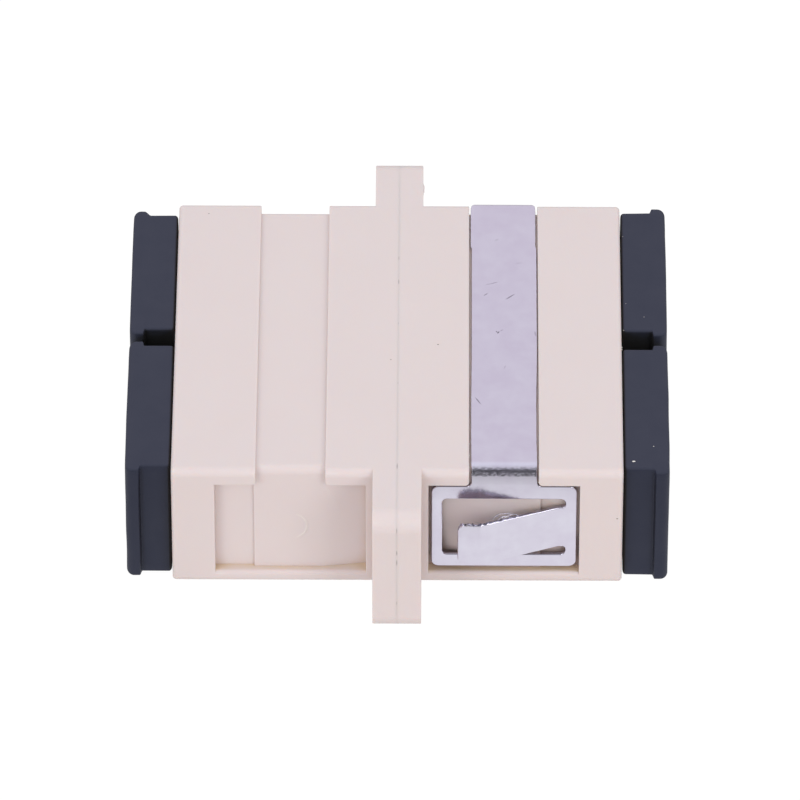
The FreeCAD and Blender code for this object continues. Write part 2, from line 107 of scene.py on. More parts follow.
# Dust and painted glints: body, whether it is pale, and the place and size of each speck in millimetres
SPECKS = (
    ("adapter", False, ((-12.15, 11.8, 9.3, 0.05), (2.5, -0.81, 9.3, 0.06), (-0.46, -2.27, 9.3, 0.05),
                        (13.7, -12.9, 5.53, 0.065))),
    ("dust_cap_front_right", True, ((14.7, -11.47, 9.03, 0.11), (15.95, -10.05, 9.03, 0.04))),
    # On the back right cap, the speck by the gap at 14.2, 0.95 is a painted glint, the others dust
    ("dust_cap_back_right", True, ((14.37, 3.48, 9.03, 0.035), (15.5, 2.21, 9.03, 0.03),
                                   (14.22, 10.0, 9.02, 0.03), (14.2, 0.95, 9.0, 0.03))),
    # Pale specks at the housing's end by the caps' gap and along the strap's edges are painted glints
    ("adapter", True, ((14.05, -0.9, 9.2, 0.06), (14.05, -1.12, 9.2, 0.05), (4.47, -10.18, 9.3, 0.045),
                       (4.47, -11.26, 9.3, 0.045), (4.46, -12.3, 9.2, 0.045), (8.82, -11.4, 9.3, 0.05),
                       (8.82, -11.58, 9.3, 0.04), (8.8, -12.9, 8.55, 0.045))),
    # Pale specks on the front tongue's torn edge are painted glints
    ("clip_tongue_front", True, ((6.55, -13.75, 6.33, 0.05), (6.75, -13.7, 6.33, 0.06),
                                 (6.9, -13.65, 6.3, 0.05))),
)
# Curls of torn metal on the front tongue: places along it and their rise, millimetres
CURLS = (
    ((5.97, -0.05), (6.0, 0.25), (6.1, 0.42), (6.4, 0.54), (6.7, 0.46), (6.95, 0.42), (7.08, 0.25),
     (7.15, -0.05)),
    ((6.25, -0.05), (6.33, 0.14), (6.55, 0.24), (6.85, 0.2), (7.1, 0.27), (7.4, 0.2), (7.6, -0.05)),
)
# Edges of the strap along its run: Y, near edge and far edge, millimetres
STRAP = (
    (-13.0, 4.60, 8.71), (-9.5, 4.58, 8.67), (-6.0, 4.58, 8.67), (-2.0, 4.61, 8.73), (8.42, 4.615, 8.73),
    (8.68, 4.55, 8.676), (12.2, 4.55, 8.676), (12.45, 4.56, 8.665), (12.62, 4.6, 8.625),
    (12.76, 4.66, 8.565), (12.87, 4.75, 8.475), (13.2, 4.8, 8.43),
)


def linear(code):
    """Linear colour of an sRGB hex value."""
    shares = [int(code[i:i + 2], 16) / 255 for i in (1, 3, 5)]
    return [s / 12.92 if s <= 0.04045 else ((s + 0.055) / 1.055) ** 2.4 for s in shares] + [1.0]


def colour_prop(name, description, code):
    """A colour that can be changed, from an sRGB hex value."""
    return bpy.props.FloatVectorProperty(name=name, description=description, subtype="COLOR",
                                         size=4, min=0, max=1, default=linear(code))


def length_prop(name, description, millimetres):
    """A length that can be changed."""
    return bpy.props.FloatProperty(name=name, description=description, subtype="DISTANCE",
                                   unit="LENGTH", precision=5, default=millimetres * MM)


def angle_prop(name, description, degrees):
    """An angle that can be changed."""
    return bpy.props.FloatProperty(name=name, description=description, subtype="ANGLE",
                                   unit="ROTATION", default=math.radians(degrees))


def share_prop(name, description, value):
    """A share from 0 to 1 that can be changed."""
    return bpy.props.FloatProperty(name=name, description=description, subtype="FACTOR",
                                   min=0, max=1, default=value)


class HousingSettings(bpy.types.PropertyGroup):
    """Moulded housing halves."""
    colour: colour_prop("Colour", "Plastic of the two halves", "#E3D7D7")
    shade: colour_prop("Shade", "Darker tone of the plastic's faint mottle", "#E1D4D4")
    # Painted shade in close corners and narrow gaps, by how closed in they are
    crease: colour_prop("Crease", "Share of the light left in close corners", "#F5ECDE")
    gap_shade: colour_prop("Grime", "Share of the light left in narrow gaps", "#FBF4F6")
    seam: colour_prop("Seam", "Share of the light left along the seam", "#FFFDFB")
    ledge: colour_prop("Ledge", "Warm light on the ledges that look up out of a recess", "#FCF5DC")
    behind: colour_prop("Behind the clip", "Share of the light left behind its plates", "#C4BEBE")
    roughness: share_prop("Roughness", "Satin finish of the mould", 0.42)
    depth: length_prop("Depth", "How far light goes into the plastic", 0.3)
    edge_round: length_prop("Edge round", "Round on the mould's sharp edges", 0.045)
    pin_radius: length_prop("Ejector pin radius", "Mark of the ejector pin in each recess", 1.0)
    pin_height: length_prop("Ejector pin height", "Highest edge of the mark", 0.06)
    pin_place: length_prop("Ejector pin place", "From the seam to the middle of the mark", 6.655)
    pin_level: length_prop("Ejector pin level", "Height of the middle of the mark", 4.33)
    recess_floor: length_prop("Recess floor", "From the middle to the floor of a recess", 12.35)
    narrow_side: length_prop("Narrow side", "From the middle to a narrow side of the housing", 12.9)
    sill: length_prop("Sill", "Height of the ledge at the foot of a recess", 0.95)
    sill_round: length_prop("Sill round", "Round along the foot of a recess", 0.25)


class ClipSettings(bpy.types.PropertyGroup):
    """Stamped panel clip and its spring tongues."""
    colour: colour_prop("Colour", "Bright rolled stainless sheet", "#D8D5E3")
    stain: colour_prop("Stain", "Tone of the sheet's cloudy patches", "#D3CEDE")
    scratch: colour_prop("Scratch", "Scratched sheet", "#7C7884")
    roughness: share_prop("Roughness", "Bright rolled sheet", 0.15)
    thickness: length_prop("Sheet", "Thickness of the sheet", 0.25)
    front_bend: length_prop("Front bend", "Outer radius of the strap's front bend", 0.8)
    front_ease: length_prop("Front ease", "Outer radius where the front bend runs out", 3.5)
    back_bend: length_prop("Back bend", "Outer radius of the strap's back bend", 0.55)
    edge_round: length_prop("Edge round", "Rolled edge that the die leaves", 0.075)
    ragged: length_prop("Ragged edge", "How far the sheared edge wanders", 0.02)
    ragged_run: length_prop("Ragged run", "Length over which the sheared edge wanders", 0.35)
    burr: length_prop("Burr", "How far the torn edge at a tongue's toe wanders", 0.25)
    fray: length_prop("Fray", "How far the torn edge beside the burr wanders", 0.09)
    torn_run: length_prop("Torn run", "Length over which a torn edge wanders", 0.13)
    plate_top: length_prop("Plate top", "Height of the plates' upper edge", 7.95)
    plate_corner: length_prop("Plate corner", "Corner round of the plates", 0.5)
    neck: length_prop("Neck round", "Round where the strap meets a plate", 0.3)
    rail: length_prop("Rail", "Width of the plate beside its window", 0.7)
    lower_rail: length_prop("Lower rail", "Width of the plate under its window", 1.01)
    upper_rail: length_prop("Upper rail", "Width of the plate over its window", 1.07)
    window_corner: length_prop("Window corner", "Corner round of the window", 0.3)
    slot: length_prop("Slot", "Height of the slots beside the tongue's root", 0.68)
    root: length_prop("Root", "From the seam to where a tongue leaves its plate", 10.25)
    rise_angle: angle_prop("Rise", "How far a tongue leans out of its plate", 19.6)
    root_bend: length_prop("Root bend", "Radius of the bend at a tongue's root", 0.9)
    toe_bend: length_prop("Toe bend", "Radius of the bend at a tongue's toe", 0.6)
    toe_angle: angle_prop("Toe", "How far the toe turns back", 23.3)
    toe_length: length_prop("Toe length", "Length of the toe", 1.28)
    tongue_corner: length_prop("Tongue corner", "Corner round of the toe", 0.5)


class CapSettings(bpy.types.PropertyGroup):
    """Dust caps."""
    colour: colour_prop("Colour", "Black plastic", "#1E2338")
    # A film of dust and a painted sheen on the faces that look up
    film_and_sheen: colour_prop("Film", "Black plastic under a film of fine dust", "#2B2F42")
    roughness: share_prop("Roughness", "Matt moulded finish", 0.62)
    gloss: share_prop("Gloss", "Strength of the mirrored light", 0.42)
    half_width: length_prop("Half width", "Half of the head's width behind its rim", 5.62)
    overhang: length_prop("Overhang", "How far the rim stands out", 0.4)
    rim: length_prop("Rim", "Outer end to the middle of the rim's step", 0.9)
    gap_slope: length_prop("Gap slope", "Length of the rim's step beside the other cap", 0.12)
    inner_round: length_prop("Inner round", "Round of the head's edges beside the housing", 0.2)
    end_round: length_prop("End round", "Round of the rim's outer corners", 0.46)
    edge_round: length_prop("Edge round", "Round of the head's long edges", 0.18)
    waver: length_prop("Waver", "How far the soft moulding wanders", 0.03)
    waver_seed: bpy.props.IntProperty(name="Waver seed", description="Picks one of many wavers",
                                      min=1, default=7)
    head: length_prop("Head", "Depth of the head outside the port", 2.85)
    floor: length_prop("Floor", "Thickness of the head behind the hollow", 1.0)
    skirt_wide: length_prop("Skirt half width", "Half of the skirt's width in the port", 4.425)
    skirt_tall: length_prop("Skirt half height", "Half of the skirt's height in the port", 3.55)
    wall: length_prop("Wall", "Thickness of the skirt's wall", 0.55)
    lead: length_prop("Lead", "Chamfer at the skirt's open end", 0.1)


class InnerSettings(bpy.types.PropertyGroup):
    """Latch holders and alignment sleeves."""
    holder: colour_prop("Holder", "Natural plastic of the latch holders", "#DCD8CC")
    sleeve: colour_prop("Sleeve", "Phosphor bronze", "#C08A5A")
    edge_round: length_prop("Edge round", "Round on sharp edges", 0.05)


class StageSettings(bpy.types.PropertyGroup):
    """Floor, light and camera."""
    elevation: angle_prop("Elevation", "Height of the view over the floor", 41.44)
    turn: angle_prop("Turn", "Turn of the view round the object", 0.327)
    distance: length_prop("Distance", "From the camera to the object's middle", 653.6)
    lens: bpy.props.FloatProperty(name="Lens", description="Focal length, millimetres", default=465.1)
    shift: bpy.props.FloatVectorProperty(name="Shift", description="Framing of the view", size=2,
                                         default=(0.00217, -0.01097))
    fill: bpy.props.FloatProperty(name="Fill", description="Light of the white surroundings", default=0.838)
    key: bpy.props.FloatProperty(name="Key", description="Power of each softbox, watts", default=0.84)
    key_turn: angle_prop("Key turn", "How far each softbox stands to the side", 36)
    key_height: angle_prop("Key height", "How high each softbox stands", 28)
    key_distance: length_prop("Key distance", "From the object to each softbox", 700)
    key_size: length_prop("Key size", "Width of each softbox", 250)


# Small tools for meshes and materials


def add_node(tree, kind, settings=(), links=()):
    """Add a shader node, with its settings or socket values and what feeds its sockets."""
    node = tree.nodes.new("ShaderNode" + kind)
    for name, value in dict(settings).items():
        if name == "stops":
            ramp = node.color_ramp.elements
            ramp.remove(ramp[-1])
            ramp[0].position, ramp[0].color = value[0]
            for spot, colour in value[1:]:
                ramp.new(spot).color = colour
        elif isinstance(name, int) or name in node.inputs:
            node.inputs[name].default_value = value
        else:
            setattr(node, name, value)
    for name, source in dict(links).items():
        tree.links.new(source, node.inputs[name])
    return node


def new_material(name):
    """A material with its shader and the coordinates of the frame."""
    material = bpy.data.materials.new(name)
    material.use_nodes = True
    tree = material.node_tree
    tree.nodes.clear()
    place = add_node(tree, "TexCoord").outputs["Object"]
    shader = add_node(tree, "BsdfPrincipled")
    add_node(tree, "OutputMaterial", links={"Surface": shader.outputs[0]})
    return material, tree, shader, place


def add_piece(name, form, material, body):
    """Turn a bmesh into a piece that rides on a body."""
    mesh = bpy.data.meshes.new(name)
    form.to_mesh(mesh)
    form.free()
    mesh.materials.append(material)
    piece = bpy.data.objects.new(name, mesh)
    bpy.context.scene.collection.objects.link(piece)
    if body:
        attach(piece, body)
    return piece


def rounded_copy(node, width, material, prepare=None, ease=None):
    """A piece that stands for a CAD node, with small rounds on its sharp edges.

    prepare works on its mesh first, and ease makes wider rounds before the small ones.
    """
    source = frame["nodes"][node].data
    form = bmesh.new()
    corners = [form.verts.new(v.co) for v in source.vertices]
    for polygon in source.polygons:
        form.faces.new([corners[i] for i in polygon.vertices])
    flat, sharp, soft = (math.radians(degrees) for degrees in (0.3, 50, 48))
    same_place, joined_place, seam_lip = 1e-4 * MM, 1e-3 * MM, 0.1 * MM
    bmesh.ops.remove_doubles(form, verts=form.verts, dist=same_place)
    if prepare:
        prepare(form)
    bmesh.ops.dissolve_limit(form, angle_limit=flat, verts=form.verts, edges=form.edges)
    if ease:
        ease(form)
    edges = [e for e in form.edges if e.is_convex and e.calc_face_angle() > sharp
             and max(abs(v.co.x) for v in e.verts) > seam_lip]
    bmesh.ops.bevel(form, geom=edges, offset=width, offset_type="OFFSET", segments=2, profile=0.5,
                    affect="EDGES", clamp_overlap=False)
    bmesh.ops.remove_doubles(form, verts=form.verts, dist=joined_place)
    bmesh.ops.delete(form, geom=[v for v in form.verts if not v.link_faces], context="VERTS")
    for face in form.faces:
        face.smooth = True
    for edge in form.edges:
        edge.smooth = not edge.is_manifold or edge.calc_face_angle() < soft
    body = frame["nodes"][node]["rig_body"]
    piece = add_piece(node + "_finished", form, material, body)
    even = piece.modifiers.new("Even shading", "WEIGHTED_NORMAL")
    even.weight, even.keep_sharp = 100, True
    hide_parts(node)


# Finishes


def greys(stops):
    """Stops of a ramp from places and their shares of light."""
    return [(place, (share, share, share, 1.0)) for place, share in stops]


def marked(tree, place, marks):
    """Strength of small oval marks: place, radii in metres, turn about Z and strength of each."""
    strength = None
    for centre, radii, turn, depth in marks:
        spot = add_node(tree, "Mapping", {"vector_type": "TEXTURE", "Location": centre,
                                          "Rotation": (0, 0, turn), "Scale": radii}, {"Vector": place})
        mark = add_node(tree, "TexGradient", {"gradient_type": "SPHERICAL"}, {"Vector": spot.outputs[0]})
        mark = add_node(tree, "MapRange", {"From Max": 0.6, "To Max": depth}, {0: mark.outputs["Fac"]})
        if strength:
            mark = add_node(tree, "Math", {"operation": "MAXIMUM"}, {0: strength, 1: mark.outputs[0]})
        strength = mark.outputs[0]
    return strength


def beige_moulded_plastic(settings):
    """Injection-moulded PBT from a finely eroded mould: satin and even, with painted shade that makes it
    warmer and darker in its corners.
    """
    material, tree, shader, place = new_material("moulded_pbt_beige")
    mottle = add_node(tree, "TexNoise", {"Scale": 1 / (5 * MM), "Detail": 3.0}, {"Vector": place})
    tone = add_node(tree, "Mix", {"data_type": "RGBA", 6: settings.colour, 7: settings.shade},
                    {0: mottle.outputs["Fac"]})
    # Painted shade: corners and the gaps beside the clip are drawn darker and warmer, the more closed in
    # they are
    close = add_node(tree, "AmbientOcclusion", {"samples": 6, "Distance": 1.2 * MM})
    corner = add_node(tree, "ValToRGB",
                      {"stops": [(0.03, settings.gap_shade), (0.27, settings.crease), (0.58, WHITE)]},
                      {0: close.outputs["AO"]})
    tone = add_node(tree, "Mix", {"data_type": "RGBA", "blend_type": "MULTIPLY", 0: 1.0},
                    {6: tone.outputs[2], 7: corner.outputs[0]})
    # Light that has gone round a recess warms the ledge at its foot
    facing = add_node(tree, "SeparateXYZ", links={0: add_node(tree, "NewGeometry").outputs["Normal"]})
    spot = add_node(tree, "SeparateXYZ", links={0: place})
    low = add_node(tree, "MapRange", {"From Min": 4 * MM, "From Max": 3 * MM}, {0: spot.outputs["Z"]})
    deep = add_node(tree, "MapRange", {"From Min": 0.85, "From Max": 0.5}, {0: close.outputs["AO"]})
    deep = add_node(tree, "Math", {"operation": "MULTIPLY"}, {0: low.outputs[0], 1: deep.outputs[0]})
    foot = add_node(tree, "Math", {"operation": "MULTIPLY", "use_clamp": True},
                    {0: facing.outputs["Z"], 1: deep.outputs[0]})
    tone = add_node(tree, "Mix", {"data_type": "RGBA", "blend_type": "MULTIPLY", 7: settings.ledge},
                    {0: foot.outputs[0], 6: tone.outputs[2]})
    # Behind the clip's plates and under their tongues the floor of the recess lies in shade
    side = add_node(tree, "Math", {"operation": "ABSOLUTE"}, {0: facing.outputs["Y"]})
    clip_end = add_node(tree, "MapRange", {"From Min": 2.2 * MM, "From Max": 2.6 * MM},
                        {0: spot.outputs["X"]})
    behind = add_node(tree, "Math", {"operation": "MULTIPLY"},
                      {0: side.outputs[0], 1: clip_end.outputs[0]})
    behind = add_node(tree, "Math", {"operation": "MULTIPLY", "use_clamp": True},
                      {0: behind.outputs[0], 1: deep.outputs[0]})
    tone = add_node(tree, "Mix", {"data_type": "RGBA", "blend_type": "MULTIPLY", 7: settings.behind},
                    {0: behind.outputs[0], 6: tone.outputs[2]})
    # The seam of the halves shows as a faint warm line, and a few dark bits lie in it
    off_seam = add_node(tree, "Math", {"operation": "ABSOLUTE"}, {0: spot.outputs["X"]})
    seam = add_node(tree, "MapRange", {"From Min": 0.16 * MM, "From Max": 0.0}, {0: off_seam.outputs[0]})
    tone = add_node(tree, "Mix", {"data_type": "RGBA", "blend_type": "MULTIPLY", 7: settings.seam},
                    {0: seam.outputs[0], 6: tone.outputs[2]})
    bits = marked(tree, place, [(Vector((0, y, z)) * MM, Vector((0.05, size / 2, size / 2)) * MM, 0, depth)
                                for y, z, size, depth in SEAM_BITS])
    tone = add_node(tree, "Mix", {"data_type": "RGBA", 7: linear("#9C8B86")},
                    {0: bits, 6: tone.outputs[2]})
    # The mould's fine grain is drawn coarser than it is, so that it shows
    grain = add_node(tree, "TexNoise", {"Scale": 1 / (0.15 * MM), "Detail": 2.0}, {"Vector": place})
    bump = add_node(tree, "Bump", {"Strength": 0.12, "Distance": 0.004 * MM},
                    {"Height": grain.outputs["Fac"]})
    rough = add_node(tree, "MapRange",
                     {"To Min": settings.roughness - 0.04, "To Max": settings.roughness + 0.04},
                     {0: mottle.outputs["Fac"]})
    tree.links.new(tone.outputs[2], shader.inputs["Base Color"])
    tree.links.new(rough.outputs[0], shader.inputs["Roughness"])
    tree.links.new(bump.outputs[0], shader.inputs["Normal"])
    shader.inputs["IOR"].default_value = 1.5
    # Light goes a little way into the plastic and warms the edges and corners
    shader.inputs["Subsurface Weight"].default_value = 0.35
    shader.inputs["Subsurface Radius"].default_value = (1.0, 0.7, 0.5)
    shader.inputs["Subsurface Scale"].default_value = settings.depth
    return material


def black_moulded_plastic(settings):
    """Injection-moulded black polyethylene: matt, blue-black, with fine grain and a cloudy sheen."""
    material, tree, shader, place = new_material("moulded_pe_black")
    # The mould's fine grain is drawn coarser than it is, so that it shows
    grain = add_node(tree, "TexNoise", {"Scale": 1 / (0.2 * MM), "Detail": 3.0}, {"Vector": place})
    bump = add_node(tree, "Bump", {"Strength": 0.3, "Distance": 0.006 * MM},
                    {"Height": grain.outputs["Fac"]})
    mottle = add_node(tree, "TexNoise", {"Scale": 1 / (1.8 * MM), "Detail": 4.0}, {"Vector": place})
    rough = add_node(tree, "MapRange",
                     {"To Min": settings.roughness - 0.1, "To Max": settings.roughness + 0.1},
                     {0: mottle.outputs["Fac"]})
    tree.links.new(rough.outputs[0], shader.inputs["Roughness"])
    tree.links.new(bump.outputs[0], shader.inputs["Normal"])
    # Little light comes back out of the narrow gaps
    close = add_node(tree, "AmbientOcclusion", {"samples": 6, "Distance": 2.5 * MM})
    open_share = add_node(tree, "MapRange", {"From Min": 0.52, "From Max": 0.66}, {0: close.outputs["AO"]})
    # Dust settles on the faces that look up, and a painted sheen makes them lighter still
    up = add_node(tree, "SeparateXYZ", links={0: add_node(tree, "NewGeometry").outputs["Normal"]})
    film_and_sheen = add_node(tree, "MapRange", {"From Min": 0.4, "From Max": 0.95}, {0: up.outputs["Z"]})
    tone = add_node(tree, "Mix", {"data_type": "RGBA", 6: settings.colour, 7: settings.film_and_sheen},
                    {0: film_and_sheen.outputs[0]})
    tone = add_node(tree, "Mix", {"data_type": "RGBA", 6: linear("#0D0D0D")},
                    {0: open_share.outputs[0], 7: tone.outputs[2]})
    tree.links.new(tone.outputs[2], shader.inputs["Base Color"])
    shader.inputs["Specular IOR Level"].default_value = settings.gloss
    shader.inputs["IOR"].default_value = 1.5
    return material


def stainless_sheet(settings):
    """Stainless spring steel, bright rolled and stamped: cloudy, scratched, roughened at the bends."""
    material, tree, shader, place = new_material("rolled_stainless_steel")
    cloud = add_node(tree, "TexNoise", {"Scale": 1 / (1.6 * MM), "Detail": 4.0, "Roughness": 0.6},
                     {"Vector": place})
    patch = add_node(tree, "MapRange", {"From Min": 0.35, "From Max": 0.65}, {0: cloud.outputs["Fac"]})
    tone = add_node(tree, "Mix", {"data_type": "RGBA", 6: settings.colour, 7: settings.stain},
                    {0: patch.outputs[0]})
    marks = marked(tree, place, [((x * MM, y * MM, CLIP_HIGH.z), Vector((length / 2, 0.055, 0.1)) * MM,
                                  math.radians(turn), depth) for x, y, length, turn, depth in SCRATCHES])
    tone = add_node(tree, "Mix", {"data_type": "RGBA", 7: settings.scratch},
                    {0: marks, 6: tone.outputs[2]})
    # The narrow space behind a tongue mirrors mostly its own dark
    close = add_node(tree, "AmbientOcclusion", {"samples": 4, "Distance": 2.0 * MM})
    inner = add_node(tree, "ValToRGB", {"stops": [(0.15, linear("#ACA4A0")), (0.6, WHITE)]},
                     {0: close.outputs["AO"]})
    tone = add_node(tree, "Mix", {"data_type": "RGBA", "blend_type": "MULTIPLY", 0: 1.0},
                    {6: tone.outputs[2], 7: inner.outputs[0]})
    # Forming tears the skin along the outside of the strap's bends, drawn coarser than it is to show, and
    # painted reflection lies over it
    height = add_node(tree, "SeparateXYZ", links={0: place})
    over = add_node(tree, "MapRange", {"From Min": 8.7 * MM, "From Max": 8.78 * MM},
                    {0: height.outputs["Z"]})
    under = add_node(tree, "MapRange", {"From Min": 9.345 * MM, "From Max": 8.95 * MM},
                     {0: height.outputs["Z"]})
    bent = add_node(tree, "Math", {"operation": "MULTIPLY"}, {0: over.outputs[0], 1: under.outputs[0]})
    torn = add_node(tree, "Mapping", {"Scale": (0.6, 1.0, 1.0)}, {"Vector": place})
    torn = add_node(tree, "TexNoise", {"Scale": 1 / (0.11 * MM), "Detail": 3.0},
                    {"Vector": torn.outputs[0]})
    level = add_node(tree, "Math", {"operation": "MULTIPLY_ADD", 1: 0.12 * MM},
                     {0: torn.outputs["Fac"], 2: height.outputs["Z"]})
    level = add_node(tree, "MapRange", {"From Min": 8.71 * MM, "From Max": 9.41 * MM},
                     {0: level.outputs[0]})
    # Painted reflection: the bends are drawn darker, most in a band across them, with a faint dark line
    # near their top
    painted_bend_dark_stops = [(0.1, 1.0), (0.19, 0.72), (0.4, 0.72), (0.47, 0.46), (0.64, 0.46), (0.74, 0.88), (0.83, 1.0)]
    painted_bend_dark = add_node(tree, "ValToRGB", {"stops": greys(painted_bend_dark_stops)}, {0: level.outputs[0]})
    tone = add_node(tree, "Mix", {"data_type": "RGBA", "blend_type": "MULTIPLY", 0: 1.0},
                    {6: tone.outputs[2], 7: painted_bend_dark.outputs[0]})
    crumbs = add_node(tree, "MapRange", {"From Min": 0.4, "From Max": 0.6, "To Min": 0.6, "To Max": 1.3},
                      {0: torn.outputs["Fac"]})
    low = add_node(tree, "MapRange", {"From Min": 9.05 * MM, "From Max": 8.95 * MM},
                   {0: height.outputs["Z"]})
    low = add_node(tree, "Math", {"operation": "MULTIPLY"}, {0: over.outputs[0], 1: low.outputs[0]})
    tone = add_node(tree, "Mix", {"data_type": "RGBA", "blend_type": "MULTIPLY"},
                    {0: low.outputs[0], 6: tone.outputs[2], 7: crumbs.outputs[0]})
    # Painted glints: torn spots in a band just over the darkest part are drawn lighter
    glints = add_node(tree, "MapRange",
                      {"From Min": 0.42, "From Max": 0.62, "To Min": 0.82, "To Max": 1.16},
                      {0: torn.outputs["Fac"]})
    shine = [(0.56, 0.0), (0.64, 1.0), (0.74, 1.0), (0.86, 0.0)]
    band = add_node(tree, "ValToRGB", {"stops": greys(shine)}, {0: level.outputs[0]})
    tone = add_node(tree, "Mix", {"data_type": "RGBA", "blend_type": "MULTIPLY"},
                    {0: band.outputs[0], 6: tone.outputs[2], 7: glints.outputs[0]})
    rolled = add_node(tree, "TexNoise", {"Scale": 1 / (0.5 * MM), "Detail": 3.0}, {"Vector": place})
    strength = add_node(tree, "MapRange", {"To Min": 0.02, "To Max": 1.0}, {0: bent.outputs[0]})
    relief = add_node(tree, "Mix", {"data_type": "FLOAT"},
                      {0: bent.outputs[0], 2: rolled.outputs["Fac"], 3: torn.outputs["Fac"]})
    bump = add_node(tree, "Bump", {"Distance": 0.05 * MM},
                    {"Height": relief.outputs[0], "Strength": strength.outputs[0]})
    rough = add_node(tree, "MapRange",
                     {"To Min": settings.roughness - 0.04, "To Max": settings.roughness + 0.05},
                     {0: cloud.outputs["Fac"]})
    tree.links.new(tone.outputs[2], shader.inputs["Base Color"])
    tree.links.new(rough.outputs[0], shader.inputs["Roughness"])
    tree.links.new(bump.outputs[0], shader.inputs["Normal"])
    shader.inputs["Metallic"].default_value = 1.0
    return material


def matt(name, code):
    """A plain matt surface, as of dust or of a torn edge."""
    material, _, shader, _ = new_material(name)
    shader.inputs["Base Color"].default_value = linear(code)
    shader.inputs["Roughness"].default_value = 0.8
    return material


def natural_plastic(settings):
    """Unpigmented moulded polymer: milky and slightly glossy."""
    material, tree, shader, place = new_material("moulded_natural_polymer")
    mottle = add_node(tree, "TexNoise", {"Scale": 1 / (1.5 * MM), "Detail": 3.0}, {"Vector": place})
    rough = add_node(tree, "MapRange", {"To Min": 0.3, "To Max": 0.42}, {0: mottle.outputs["Fac"]})
    tree.links.new(rough.outputs[0], shader.inputs["Roughness"])
    shader.inputs["Base Color"].default_value = settings.holder
    shader.inputs["IOR"].default_value = 1.5
    return material


def phosphor_bronze(settings):
    """Rolled phosphor bronze: warm metal with a drawn grain along the tube, coarser than it is to show."""
    material, tree, shader, place = new_material("rolled_phosphor_bronze")
    drawn = add_node(tree, "Mapping", {"Scale": (0.05, 1.0, 1.0)}, {"Vector": place})
    grain = add_node(tree, "TexNoise", {"Scale": 1 / (0.1 * MM), "Detail": 2.0},
                     {"Vector": drawn.outputs[0]})
    rough = add_node(tree, "MapRange", {"To Min": 0.2, "To Max": 0.36}, {0: grain.outputs["Fac"]})
    tree.links.new(rough.outputs[0], shader.inputs["Roughness"])
    shader.inputs["Base Color"].default_value = settings.sleeve
    shader.inputs["Metallic"].default_value = 1.0
    return material


# Sheet metal: a flat blank is outlined, given rolled edges, and bent along a path


def rounded_outline(corners):
    """Points round a closed outline whose corners are (across, along, radius)."""
    points = []
    count = len(corners)
    for i, (across, along, radius) in enumerate(corners):
        corner = Vector((across, along))
        if radius == 0:
            points.append(corner)
            continue
        back = (Vector(corners[i - 1][:2]) - corner).normalized()
        ahead = (Vector(corners[(i + 1) % count][:2]) - corner).normalized()
        half = back.angle(ahead) / 2
        centre = corner + (back + ahead).normalized() * (radius / math.sin(half))
        first = corner + back * (radius / math.tan(half)) - centre
        last = corner + ahead * (radius / math.tan(half)) - centre
        turn = first.angle_signed(last)
        steps = max(3, round(abs(turn) / math.radians(11)))
        for k in range(steps + 1):
            points.append(centre + first @ Matrix.Rotation(turn * k / steps, 2))
    return points


def divided(points, step):
    """The outline with its long edges divided into short ones."""
    result = []
    for a, b in zip(points, points[1:] + points[:1]):
        parts = max(1, round((b - a).length / step))
        result += [a.lerp(b, k / parts) for k in range(parts)]
    return result


def inside(point, loop):
    """Whether a point lies within a closed outline."""
    crossed = False
    for a, b in zip(loop, loop[1:] + loop[:1]):
        if (a.y > point.y) != (b.y > point.y):
            if point.x < a.x + (b.x - a.x) * (point.y - a.y) / (b.y - a.y):
                crossed = not crossed
    return crossed


class BentPath:
    """Straight runs and arcs in a plane, followed by the outer face of a sheet."""

    def __init__(self, start, heading, runs):
        self.parts = []
        place, angle, travelled = Vector(start), heading, 0.0
        for length, radius, turn in runs:
            self.parts.append((travelled, length, place.copy(), angle, radius, turn))
            if radius:
                place = self.on_arc(place, angle, radius, turn, 1.0)
                angle += turn
            else:
                place = place + Vector((math.cos(angle), math.sin(angle))) * length
            travelled += length
        self.length = travelled

    @staticmethod
    def on_arc(place, angle, radius, turn, share):
        """Place at a share of the way along an arc."""
        side = math.copysign(1, turn)
        normal = Vector((-math.sin(angle), math.cos(angle))) * side
        centre = place + normal * radius
        swing = turn * share
        out = -normal
        rotated = Vector((out.x * math.cos(swing) - out.y * math.sin(swing),
                          out.x * math.sin(swing) + out.y * math.cos(swing)))
        return centre + rotated * radius

    def at(self, along):
        """Place and heading at a length along the path."""
        for start, length, place, angle, radius, turn in self.parts:
            if along <= start + length or start + length >= self.length - 1e-9:
                share = (along - start) / length
                if radius:
                    return self.on_arc(place, angle, radius, turn, share), angle + turn * share
                return place + Vector((math.cos(angle), math.sin(angle))) * (along - start), angle
        raise ValueError("past the end of the path")

    def rows(self):
        """Lengths at which the bends need a row of corners."""
        found = []
        for start, length, _, _, radius, turn in self.parts:
            if radius:
                steps = max(4, round(abs(turn) / math.radians(6)))
                found += [start + length * k / steps for k in range(steps + 1)]
        return found


def arc(radius, turn):
    """A run of a path that turns."""
    return (radius * abs(turn), radius, turn)


def straight(length):
    """A run of a path that goes straight on."""
    return (length, 0.0, 0.0)


